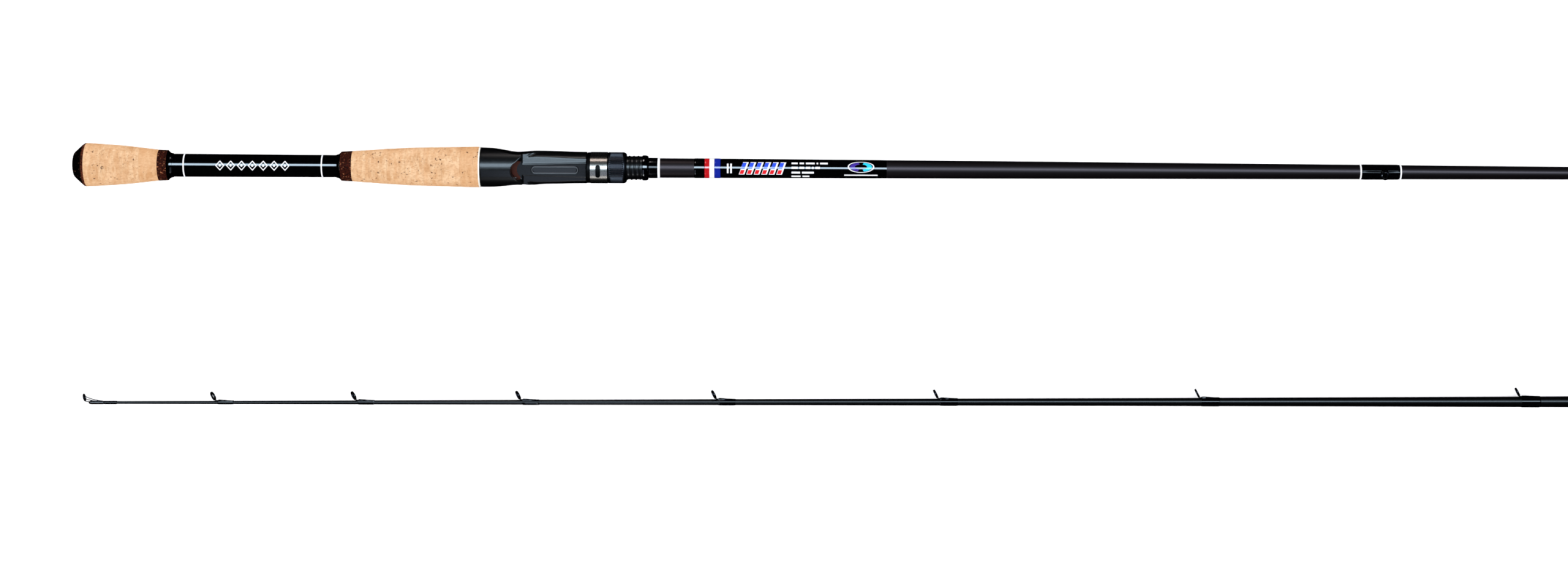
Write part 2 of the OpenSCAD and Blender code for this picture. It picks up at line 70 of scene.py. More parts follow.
class Place:
    """A section's own axes: X along the blank, Z to its guides."""

    def __init__(self, origin, along, up):
        self.origin = np.array(origin, float)
        x = np.array(along, float)
        z = np.array(up, float)
        self.axes = np.array([x, np.cross(z, x), z])

    def out(self, points):
        return np.asarray(points, float) @ self.axes + self.origin

    def inward(self, points):
        return (np.asarray(points, float) - self.origin) @ self.axes.T


def node_points(node):
    mesh = NODES[node].data
    flat = np.empty(len(mesh.vertices) * 3)
    mesh.vertices.foreach_get("co", flat)
    return flat.reshape(-1, 3)


socket = next(m for m in RECORD["mounts"] if m["name"] == "ferrule_socket")
tip_along = np.array(socket["axis"]) / np.linalg.norm(socket["axis"])
BUTT = Place((0, 0, 0), (1, 0, 0), (0, 0, 1))
TIP = Place(socket["pos_m"], tip_along, np.cross((0, 0, 1), tip_along))
TIP.origin = TIP.out([[TIP.inward(node_points("tip_top_ring"))[:, 0].min(), 0, 0]])[0]


def span(node, place=BUTT):
    """First and last station of a node along its section."""
    x = place.inward(node_points(node))[:, 0]
    return x.min(), x.max()


def outer_radius(node, place=BUTT, count=240):
    """Table of station and outside radius of a turned node, read along its mesh's edges."""
    p = place.inward(node_points(node))
    r = np.hypot(p[:, 1], p[:, 2])
    mesh = NODES[node].data
    ends = np.empty(len(mesh.edges) * 2, int)
    mesh.edges.foreach_get("vertices", ends)
    a, b = ends.reshape(-1, 2).T
    swap = p[a, 0] > p[b, 0]
    a, b = np.where(swap, b, a), np.where(swap, a, b)
    lo, hi = p[a, 0], p[b, 0]
    near = 2e-6
    table = []
    for x in np.linspace(lo.min() + near, hi.max() - near, count):
        over = (lo <= x + near) & (hi >= x - near)
        if over.any():
            share = np.clip((x - lo[over]) / np.maximum(hi[over] - lo[over], near), 0, 1)
            table.append((x, (r[a[over]] + (r[b[over]] - r[a[over]]) * share).max()))
    return table


def at(table, x):
    return np.interp(x, [p[0] for p in table], [p[1] for p in table])


butt_table = outer_radius("butt_blank")
tip_table = outer_radius("tip_blank", TIP)

# ---- Meshes ----


def finish_mesh(name, points, faces, material, body, smooth=True, sharp=None):
    mesh = bpy.data.meshes.new(name)
    mesh.from_pydata([tuple(p) for p in points], [], [tuple(f) for f in faces])
    mesh.materials.append(material)
    mesh.validate()
    mesh.polygons.foreach_set("use_smooth", [smooth] * len(mesh.polygons))
    if sharp is not None:
        mesh.set_sharp_from_angle(angle=math.radians(sharp))
    mesh.update()
    made = bpy.data.objects.new(name, mesh)
    bpy.context.scene.collection.objects.link(made)
    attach(made, body)
    return made


def grid_faces(rows, columns, close_rows=False):
    """Quads between rows of a closed ring of columns."""
    i = np.arange(rows if close_rows else rows - 1)[:, None]
    j = np.arange(columns)[None, :]
    k = (i + 1) % rows
    n = (j + 1) % columns
    quads = np.stack([i * columns + j, i * columns + n, k * columns + n, k * columns + j], -1)
    return quads.reshape(-1, 4)


def soften(outline, radius, steps=3):
    """Rounds the corners of a closed outline."""
    made = []
    count = len(outline)
    for i in range(count):
        a, b, c = (np.array(outline[(i + k) % count], float) for k in (-1, 0, 1))
        u = a - b
        v = c - b
        lu = np.linalg.norm(u)
        lv = np.linalg.norm(v)
        bend = np.dot(u, v) / max(lu * lv, 1e-12)
        if bend < -0.985 or b[1] < 1e-7:
            made.append(tuple(b))
            continue
        cut = min(radius, lu * 0.45, lv * 0.45)
        p = b + u / lu * cut
        q = b + v / lv * cut
        for s in np.linspace(0, 1, steps + 1):
            made.append(tuple((1 - s) ** 2 * p + 2 * s * (1 - s) * b + s * s * q))
    return made


def refine(outline, step, closed=True):
    """Adds points so that no side is longer than step."""
    made = []
    count = len(outline)
    for i in range(count if closed else count - 1):
        a = np.array(outline[i], float)
        b = np.array(outline[(i + 1) % count], float)
        parts = max(1, int(np.ceil(np.linalg.norm(b - a) / step)))
        for s in range(parts):
            made.append(tuple(a + (b - a) * s / parts))
    if not closed:
        made.append(tuple(outline[-1]))
    return made


def lathe(name, outline, material, body="butt_section", place=BUTT, segments=96, sharp=40, shift=None):
    """Turns a closed outline of (station, radius) about the section's axis; shift is added to radii."""
    outline = np.array(outline, float)
    angle = np.arange(segments) * TURN / segments
    x = np.repeat(outline[:, 0:1], segments, 1)
    r = np.repeat(outline[:, 1:2], segments, 1)
    if shift is not None:
        r = r + shift(x, np.repeat(angle[None, :], len(outline), 0), r)
    points = np.stack([x, r * np.sin(angle), r * np.cos(angle)], -1).reshape(-1, 3)
    faces = grid_faces(len(outline), segments, close_rows=True)
    made = finish_mesh(name, place.out(points), faces, material, body, sharp=sharp)
    tidy(made)
    return made


def tidy(made):
    """Joins points that meet on the axis, and turns every face outwards."""
    work = bmesh.new()
    work.from_mesh(made.data)
    bmesh.ops.remove_doubles(work, verts=work.verts, dist=1e-7)
    bmesh.ops.dissolve_degenerate(work, edges=work.edges, dist=1e-8)
    bmesh.ops.recalc_face_normals(work, faces=work.faces)
    work.to_mesh(made.data)
    work.free()
    made.data.update()


def ring_outline(x0, x1, inner, outer):
    """Closed outline of a ring, inside forwards and outside backwards, from tables or numbers."""
    def value(table, x):
        return at(table, x) if isinstance(table, list) else table
    inside = [(x0, value(inner, x0)), (x1, value(inner, x1))]
    stations = [x1, x0]
    if isinstance(outer, list):
        stations = [x1] + [p[0] for p in reversed(outer) if x0 + 1e-6 < p[0] < x1 - 1e-6] + [x0]
    return inside + [(x, value(outer, x)) for x in stations]


# ---- Materials ----


class Paint:
    """A material and short ways to add nodes to it."""

    def __init__(self, name, **sockets):
        self.material = bpy.data.materials.new(name)
        self.material.use_nodes = True
        self.tree = self.material.node_tree
        self.shader = self.tree.nodes["Principled BSDF"]
        self.coord = self.add("TexCoord")["Object"]
        for key, value in sockets.items():
            self.set(key.replace("_", " "), value)

    def fill(self, target, value):
        """Links another socket to this one, or sets its number or colour."""
        if isinstance(value, bpy.types.NodeSocket):
            self.tree.links.new(value, target)
        elif hasattr(value, "__len__") and len(value) == 3 and target.type == "RGBA":
            target.default_value = (*value, 1)
        else:
            target.default_value = value

    def set(self, socket_name, value):
        self.fill(self.shader.inputs[socket_name], value)

    def add(self, kind, inputs=None, **settings):
        made = self.tree.nodes.new("ShaderNode" + kind)
        for key, value in settings.items():
            setattr(made, key, value)
        for key, value in (inputs or {}).items():
            self.fill(made.inputs[key], value)
        return made.outputs

    def scaled(self, x, y, z):
        return self.add("Mapping", {"Vector": self.coord, "Scale": (x, y, z)})["Vector"]

    def noise(self, scale, detail=3, vector=None, rough=0.5, distortion=0.0):
        inputs = {"Vector": vector or self.coord, "Scale": scale, "Detail": detail, "Roughness": rough,
                  "Distortion": distortion}
        return self.add("TexNoise", inputs)["Fac"]

    def cells(self, scale, vector=None, feature="F1", output="Distance"):
        inputs = {"Vector": vector or self.coord, "Scale": scale}
        return self.add("TexVoronoi", inputs, feature=feature)[output]

    def ramp(self, fac, *stops):
        made = self.tree.nodes.new("ShaderNodeValToRGB")
        self.tree.links.new(fac, made.inputs["Fac"])
        line = made.color_ramp.elements
        while len(line) < len(stops):
            line.new(0.5)
        for element, (position, colour) in zip(line, stops):
            element.position = position
            element.color = (*colour, 1) if hasattr(colour, "__len__") else (colour, colour, colour, 1)
        return made.outputs["Color"]

    def mix(self, fac, a, b, blend="MIX"):
        made = self.tree.nodes.new("ShaderNodeMix")
        made.data_type = "RGBA"
        made.blend_type = blend
        for index, value in ((0, fac), (6, a), (7, b)):
            self.fill(made.inputs[index], value)
        return made.outputs[2]

    def maths(self, operation, a, b=0.0, clamp=False):
        made = self.tree.nodes.new("ShaderNodeMath")
        made.operation = operation
        made.use_clamp = clamp
        for index, value in ((0, a), (1, b)):
            self.fill(made.inputs[index], value)
        return made.outputs[0]

    def attribute(self, name, output="Fac"):
        return self.add("Attribute", attribute_name=name)[output]

    def bump(self, height, distance, strength=1.0, normal=None):
        inputs = {"Height": height, "Distance": distance, "Strength": strength}
        if normal is not None:
            inputs["Normal"] = normal
        return self.add("Bump", inputs)["Normal"]


def gloss(name, colour, tint, rough=(0.05, 0.12), scale=260.0, specular=1.0, coat=0.6):
    """Coated smooth surface with faint unevenness and dust in its gloss."""
    p = Paint(name, Specular_IOR_Level=specular, Coat_Weight=coat, Coat_Roughness=0.04)
    wide = p.noise(scale, 4)
    fine = p.noise(scale * 9, 2)
    p.set("Base Color", p.mix(wide, colour, tint))
    p.set("Roughness", p.maths("ADD", p.maths("MULTIPLY", fine, rough[1] - rough[0]), rough[0]))
    p.set("Normal", p.bump(wide, 0.00002, 0.25))
    return p.material


def thread_gloss(name, colour, pitch=0.00022):
    """Thread wound round the blank under a clear coat."""
    p = Paint(name, Specular_IOR_Level=0.3, Coat_Weight=0.35, Coat_Roughness=0.03)
    wave = p.add("TexWave", {"Vector": p.coord, "Scale": 0.05 / pitch, "Distortion": 0.6, "Detail": 1.0},
                 wave_type="BANDS", bands_direction="X")["Fac"]
    # The base colour is halved in the low bands between the turns: painted shade in the grooves between the
    # threads.
    p.set("Base Color", p.mix(wave, [c * 0.5 for c in colour], colour))
    p.set("Roughness", p.maths("ADD", p.maths("MULTIPLY", p.noise(1500, 2), 0.08), 0.06))
    p.set("Normal", p.bump(p.mix(0.6, wave, p.noise(420, 3)), 0.00001, 0.2))
    return p.material


def cork_paint():
    p = Paint("cork_grip", Specular_IOR_Level=0.12)
    stretched = p.scaled(0.55, 1.0, 1.0)
    clouds = p.noise(120, 4, stretched, 0.6, 0.4)
    grain = p.noise(900, 5, p.scaled(0.6, 1, 1), 0.65)
    flow = p.noise(210, 4, p.scaled(1.8, 0.5, 0.5), 0.6)
    base = p.ramp(clouds, (0.32, (0.46, 0.25, 0.115)), (0.5, (0.59, 0.355, 0.19)),
                  (0.68, (0.68, 0.44, 0.26)))
    base = p.mix(p.ramp(flow, (0.42, 0.0), (0.68, 1.0)), base, (0.70, 0.49, 0.30))
    base = p.mix(p.ramp(grain, (0.32, 0.55), (0.56, 0.0)), base, (0.34, 0.165, 0.07))
    base = p.mix(p.maths("MULTIPLY", p.attribute("ring_tone"), 0.55), base, (0.50, 0.255, 0.105))
    specks = p.ramp(p.cells(520, p.scaled(0.6, 1, 1)), (0.06, 1.0), (0.16, 0.0))
    some = p.ramp(p.noise(260, 2), (0.52, 0.0), (0.60, 1.0))
    base = p.mix(p.maths("MULTIPLY", specks, some), base, (0.22, 0.10, 0.05))
    base = p.mix(p.attribute("seam"), base, (0.36, 0.19, 0.09))
    base = p.mix(p.attribute("pale"), base, (0.76, 0.56, 0.36))
    base = p.mix(p.attribute("pit"), base, (0.055, 0.018, 0.008))
    # Towards grazing angles the base colour is mixed into a darker, browner tone: painted shade on the
    # grip's edges, which turn away from the light.
    rim = p.ramp(p.add("LayerWeight", {"Blend": 0.5})["Facing"], (0.25, 0.0), (1.0, 1.0))
    p.set("Base Color", p.mix(rim, base, p.mix(0.62, base, (0.42, 0.20, 0.07))))
    p.set("Roughness", p.ramp(grain, (0.3, 0.62), (0.7, 0.82)))
    p.set("Normal", p.bump(p.maths("ADD", grain, p.maths("MULTIPLY", specks, -0.8)), 0.00006, 0.6))
    return p.material


def burl_paint(name, dark, mid, light, share, lit_band_start=None):
    """Composite of dark cork grains and a few pale ones."""
    p = Paint(name, Specular_IOR_Level=0.03)
    grain = p.cells(1400, output="Color", vector=p.scaled(0.8, 1, 1))
    pick = p.add("SeparateColor", {"Color": grain})["Red"]
    edge = p.ramp(p.cells(1400, p.scaled(0.8, 1, 1), feature="DISTANCE_TO_EDGE"), (0.02, 0.0), (0.12, 1.0))
    base = p.ramp(pick, (0.0, dark), (1 - share * 2.2, mid), (1 - share, mid), (1 - share * 0.8, light))
    base = p.mix(p.noise(300, 4), base, dark)
    # Past the given station the grains turn a lighter brown, while the end face before it keeps its
    # near-black colours: painted light on the band next to the cork and painted shade on the bevelled face,
    # both of one and the same composite.
    if lit_band_start is not None:
        along = p.add("SeparateXYZ", {"Vector": p.coord})["X"]
        near = p.ramp(p.maths("MULTIPLY", p.maths("SUBTRACT", along, lit_band_start), 400), (0.0, 0.0), (0.6, 1.0))
        base = p.mix(near, base, p.mix(pick, (0.010, 0.003, 0.0015), (0.16, 0.035, 0.014)))
    p.set("Base Color", p.mix(edge, dark, base))
    p.set("Roughness", p.ramp(p.noise(700, 3), (0.3, 0.5), (0.7, 0.75)))
    p.set("Normal", p.bump(p.mix(0.5, edge, p.noise(1500, 3)), 0.00005, 0.5))
    return p.material


def graphite_paint():
    """Sanded and clear-satin graphite with the faint spiral of its wrapping tape."""
    p = Paint("satin_graphite", Specular_IOR_Level=0.6, Specular_Tint=(1.0, 0.80, 0.84))
    spiral = p.add("TexWave", {"Vector": p.scaled(1, 0.35, 0.35), "Scale": 260.0, "Distortion": 0.15,
                               "Detail": 1.0}, wave_type="BANDS", bands_direction="X")["Fac"]
    tint = p.noise(60, 3, p.scaled(0.4, 1, 1))
    base = p.mix(tint, (0.0016, 0.0012, 0.0018), (0.0030, 0.0021, 0.0032))
    p.set("Base Color", base)
    fine = p.noise(2600, 3)
    p.set("Roughness", p.maths("ADD", p.maths("MULTIPLY", fine, 0.1), 0.34))
    p.set("Normal", p.bump(p.mix(0.3, spiral, fine), 0.000012, 0.35))
    return p.material


def seat_paint():
    p = Paint("seat_satin", Specular_IOR_Level=0.5, Coat_Weight=0.25, Coat_Roughness=0.12)
    wide = p.noise(90, 4)
    fine = p.noise(3000, 2)
    p.set("Base Color", p.mix(wide, (0.0009, 0.0009, 0.0013), (0.0018, 0.0018, 0.0026)))
    p.set("Roughness", p.maths("ADD", p.maths("MULTIPLY", p.noise(500, 4), 0.12), 0.24))
    p.set("Normal", p.bump(p.mix(0.5, wide, fine), 0.00003, 0.25))
    return p.material


def metal_paint(name, colour, dark, rough, brushed=True, metallic=1.0):
    p = Paint(name, Metallic=metallic)
    vector = p.scaled(6, 0.5, 0.5) if brushed else p.coord
    fine = p.noise(1400, 4, vector, 0.6)
    p.set("Base Color", p.mix(p.ramp(fine, (0.35, 0.0), (0.65, 1.0)), dark, colour))
    p.set("Roughness", p.maths("ADD", p.maths("MULTIPLY", fine, 0.16), rough))
    p.set("Normal", p.bump(fine, 0.000008, 0.3))
    return p.material


def print_paint(name, colour, other, rough=0.12):
    """Ink under the blank's clear coat."""
    p = Paint(name, Specular_IOR_Level=0.5, Coat_Weight=0.8, Coat_Roughness=0.04)
    speckle = p.noise(3200, 2)
    wide = p.noise(500, 2)
    p.set("Base Color", p.mix(p.mix(0.5, speckle, wide), colour, other))
    p.set("Roughness", p.maths("ADD", p.maths("MULTIPLY", speckle, 0.08), rough))
    return p.material


GLOSS_BLACK = gloss("gloss_black", (0.0003, 0.0003, 0.0005), (0.0006, 0.0006, 0.0010))
TRIM_WHITE = gloss("trim_white", (0.84, 0.84, 0.85), (0.74, 0.75, 0.78), rough=(0.18, 0.3))
TRIM_CREAM = gloss("trim_cream", (0.82, 0.79, 0.72), (0.72, 0.68, 0.60), rough=(0.25, 0.4))
THREAD = thread_gloss("thread_black", (0.0007, 0.0007, 0.0011))
CORK = cork_paint()
BURL = burl_paint("burl_cork", (0.010, 0.0018, 0.0008), (0.085, 0.012, 0.004), (0.44, 0.16, 0.07), 0.10)
# The cap's near-black colours on its end face are painted shade; its band next to the cork is painted
# lighter, as if lit.
CAP = burl_paint("cap_composite", (0.0006, 0.0004, 0.0003), (0.0045, 0.0015, 0.0009),
                 (0.16, 0.07, 0.04), 0.02, lit_band_start=7.0 * MM)
GRAPHITE = graphite_paint()
SEAT = seat_paint()
# Brown of the fixed hood's lip: a painted reflection, the brownish colour mirrored in the lip's polished
# chamfer, given to the liner as its own colour.
HOOD_LIP_BROWN_REFLECTION = gloss("seat_brown", (0.075, 0.016, 0.006), (0.030, 0.007, 0.003), rough=(0.3, 0.45),
                   specular=0.15, coat=0.0)
PANEL = gloss("seat_panel", (0.0012, 0.0012, 0.0018), (0.003, 0.003, 0.004), rough=(0.3, 0.45),
              specular=0.4)
PANEL_RIM = gloss("seat_panel_rim", (0.055, 0.06, 0.068), (0.035, 0.04, 0.046), rough=(0.25, 0.4))
STEEL = metal_paint("hood_steel", (0.58, 0.53, 0.48), (0.36, 0.32, 0.28), 0.2)
HOOD_BLACK = gloss("hood_black", (0.0005, 0.0005, 0.0008), (0.001, 0.001, 0.0015), rough=(0.35, 0.5),
                   specular=0.1, coat=0.0)
NUT = metal_paint("nut_black", (0.060, 0.060, 0.068), (0.030, 0.030, 0.036), 0.26, metallic=1.0)
GUIDE = metal_paint("guide_black", (0.020, 0.020, 0.026), (0.008, 0.008, 0.011), 0.18, False, 1.0)
CERAMIC = gloss("guide_ceramic", (0.001, 0.001, 0.0015), (0.003, 0.003, 0.004), rough=(0.04, 0.1))
RED = gloss("band_red", (0.50, 0.008, 0.012), (0.32, 0.004, 0.007))
WHITE = gloss("band_white", (0.86, 0.85, 0.84), (0.76, 0.74, 0.72))
BLUE = gloss("band_blue", (0.006, 0.018, 0.30), (0.004, 0.010, 0.18))
SPIGOT = metal_paint("spigot_ground", (0.030, 0.030, 0.034), (0.016, 0.016, 0.018), 0.42, True, 0.0)
FOAM = gloss("arbor_foam", (0.03, 0.03, 0.032), (0.015, 0.015, 0.016), rough=(0.7, 0.9))
TIP_GRAPHITE = gloss("tip_graphite", (0.0005, 0.0005, 0.0006), (0.001, 0.0009, 0.0012), rough=(0.22, 0.36),
                     specular=0.5, coat=0.0)
PRINT_WHITE = print_paint("print_white", (0.86, 0.87, 0.90), (0.72, 0.74, 0.80))
PRINT_BLUE = print_paint("print_blue", (0.010, 0.04, 0.55), (0.03, 0.10, 0.75))
PRINT_RED = print_paint("print_red", (0.72, 0.012, 0.02), (0.5, 0.008, 0.014))
PRINT_CYAN = print_paint("print_cyan", (0.01, 0.62, 0.85), (0.02, 0.40, 0.72))
PRINT_INDIGO = print_paint("print_indigo", (0.06, 0.03, 0.34), (0.03, 0.015, 0.2))
SOLE = gloss("tip_tube", (0.004, 0.0022, 0.0018), (0.010, 0.005, 0.004), rough=(0.2, 0.35))

# ---- CAD nodes that are shown as they are ----

NODE_PAINT = {
    "fixed_hood_liner": HOOD_LIP_BROWN_REFLECTION, "seat_arbors": FOAM, "spigot": SPIGOT, "moving_hood": STEEL,
    "hood_liner": HOOD_BLACK,
}
BEVELS = {"moving_hood": 0.18, "hood_liner": 0.15, "fixed_hood_liner": 0.06, "spigot": 0.15}
for name, paint in NODE_PAINT.items():
    NODES[name].data.materials.clear()
    NODES[name].data.materials.append(paint)
for name, width in BEVELS.items():
    bevel = NODES[name].modifiers.new("bevel", "BEVEL")
    bevel.width = width * MM
    bevel.segments = 2
    bevel.angle_limit = math.radians(40)
    bevel.use_clamp_overlap = True

# ---- Turned pieces of the butt section ----


def band_outline(x0, x1, thick, table=butt_table, edge=0.4, crown=0.0):
    """Closed outline of a sleeve on the blank, thick in mm at its middle and rounded at its ends."""
    s = np.linspace(0, 1, 15)
    x = x0 + (x1 - x0) * s
    near_end = np.minimum(s, 1 - s) * (x1 - x0) / (edge * MM)
    rise = np.sqrt(np.clip(1 - (1 - np.clip(near_end, 0, 1)) ** 2, 0, 1))
    bulge = crown * np.sin(np.pi * s) ** 0.6
    top = [at(table, v) + (0.01 + thick * r + c) * MM for v, r, c in zip(x, rise, bulge)]
    low = [at(table, v) - 0.02 * MM for v in x]
    return list(zip(x, low)) + list(zip(x[::-1], top[::-1]))


def blank_outline(table, x0, x1):
    """Outside of a blank between two stations, through the table's own stations."""
    stations = [x0] + [x for x, _ in table if x0 < x < x1] + [x1]
    return refine([(x, at(table, x)) for x in stations], 25 * MM, closed=False)


def turned_piece(name, node, outline, paint, slot, soft=0.25, step=2.0, **more):
    made = lathe(name, refine(soften(outline, soft * MM), step * MM), paint, **more)
    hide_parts(node)
    return made


def grain_shift(depth, scale, seed, limit):
    """Small random waves on the outside of a ring."""
    draw = np.random.default_rng(seed)
    waves = [(draw.uniform(-1, 1) * scale, draw.integers(-40, 40), draw.uniform(0, TURN))
             for _ in range(24)]

    def shift(x, angle, r):
        total = sum(np.sin(f * x + k * angle + p) for f, k, p in waves) / 5
        return np.where(r > limit, depth * MM * np.minimum(total, 0.6), 0)
    return shift


cap = outer_radius("butt_cap")
cap_x0, cap_x1 = span("butt_cap")
cap_face = cap[0][1]
cap_top = cap[-1][1]
cap_line = [(cap_x0, 0), (cap_x0, cap_face * 0.55), (cap_x0 + 0.15 * MM, cap_face * 0.86),
            (cap_x0 + 0.9 * MM, cap_face + 0.3 * MM), (cap_x0 + 6.6 * MM, cap_top - 1.55 * MM),
            (cap_x0 + 8.0 * MM, cap_top - 0.35 * MM), (cap_x1, cap_top), (cap_x1, 8.5 * MM),
            (3 * MM, 8.5 * MM), (3 * MM, 0)]
made = lathe("butt_cap_composite", refine(soften(cap_line, 1.2 * MM, 4), 1.0 * MM), CAP, segments=160,
             shift=grain_shift(0.05, 5200, 3, 9 * MM))
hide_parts("butt_cap")

for name, node, paint, slot, seed in (("rear_burl_composite", "rear_burl_ring", BURL, "burl_cork", 5),
                                      ("grip_burl_composite", "grip_burl_ring", BURL, "burl_cork", 8)):
    x0, x1 = span(node)
    table = outer_radius(node)
    outline = ring_outline(x0, x1, butt_table, table)
    turned_piece(name, node, outline, paint, slot, soft=0.3, step=0.6, segments=160,
                 shift=grain_shift(0.04, 6000, seed, 10 * MM))


def check_outline(node, tall_first):
    """A winding check that sweeps down from the grip to the blank in a hollow curve."""
    x0, x1 = span(node)
    table = outer_radius(node)
    tall, low = max(r for _, r in table), min(r for _, r in table)
    s = np.linspace(0, 1, 14)
    r = low + (tall - low) * (1 - s) ** 2.2
    x = x0 + (x1 - x0) * s if tall_first else x1 - (x1 - x0) * s
    top = list(zip(x, r))
    inside = [(x[0], at(butt_table, x[0]) - 0.02 * MM), (x[-1], at(butt_table, x[-1]) - 0.02 * MM)]
    return inside + top[::-1]


for name, node, first in (("rear_check_gloss", "rear_check", True),
                          ("grip_check_gloss", "grip_check", False)):
    turned_piece(name, node, check_outline(node, first), GLOSS_BLACK, "gloss_black", soft=0.2)

for name, node, paint, slot, thick, crown in (
        ("rear_trim_line", "rear_trim_ring", TRIM_WHITE, "white_trim", 0.2, 0.0),
        ("front_trim_line", "front_trim_ring", TRIM_WHITE, "white_trim", 0.2, 0.0),
        ("seat_winding_thread", "seat_winding", THREAD, "thread_black", 0.26, 0.03),
        ("seat_winding_line", "seat_winding_trim", TRIM_WHITE, "white_trim", 0.23, 0.0),
        ("black_band_thread", "black_band", GLOSS_BLACK, "gloss_black", 0.14, 0.03),
        ("red_band_thread", "red_band", RED, "band_red", 0.12, 0.06),
        ("white_band_thread", "white_band", WHITE, "band_white", 0.12, 0.06),
        ("blue_band_thread", "blue_band", BLUE, "band_blue", 0.12, 0.06),
        ("butt_ferrule_thread", "butt_ferrule_winding", THREAD, "thread_black", 0.42, 0.02)):
    x0, x1 = span(node)
    made = lathe(name, band_outline(x0, x1, thick, crown=crown), paint)
    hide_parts(node)

x0, x1 = span("seat_trim_ring")
trim_r = outer_radius("seat_trim_ring")
turned_piece("seat_trim_disc", "seat_trim_ring", ring_outline(x0, x1, butt_table, trim_r), TRIM_CREAM,
             "cream_trim", soft=0.2, segments=160)
x0, x1 = span("seat_collar")
collar_r = max(r for _, r in outer_radius("seat_collar"))
collar_line = [(x0, at(butt_table, x0)), (x1, at(butt_table, x1)), (x1, collar_r - 0.8 * MM),
               (x1 - 1.0 * MM, collar_r - 0.15 * MM), (x1 - 2.2 * MM, collar_r), (x0 + 0.5 * MM, collar_r),
               (x0, collar_r - 0.35 * MM)]
turned_piece("seat_collar_gloss", "seat_collar", collar_line, GLOSS_BLACK, "gloss_black", soft=0.4)

x0, x1 = span("butt_blank")
inner = [(x1, 3.0 * MM), (x1 - 30 * MM, 3.0 * MM), (x1 - 30 * MM, 2.2 * MM), (x0, 6.5 * MM)]
made = lathe("butt_blank_graphite", blank_outline(butt_table, x0, x1) + inner, GRAPHITE, segments=128)
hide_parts("butt_blank")

SPLIT = (span("rear_check")[1] - 0.3 * MM, span("grip_check")[0] + 0.3 * MM)
DECAL = (span("blue_band")[1] - 0.1 * MM, 586 * MM)
for name, (x0, x1) in (("split_gloss_coat", SPLIT), ("decal_gloss_coat", DECAL)):
    made = lathe(name, band_outline(x0, x1, 0.05, edge=0.2), GLOSS_BLACK, segments=128)

# ---- Cork ----


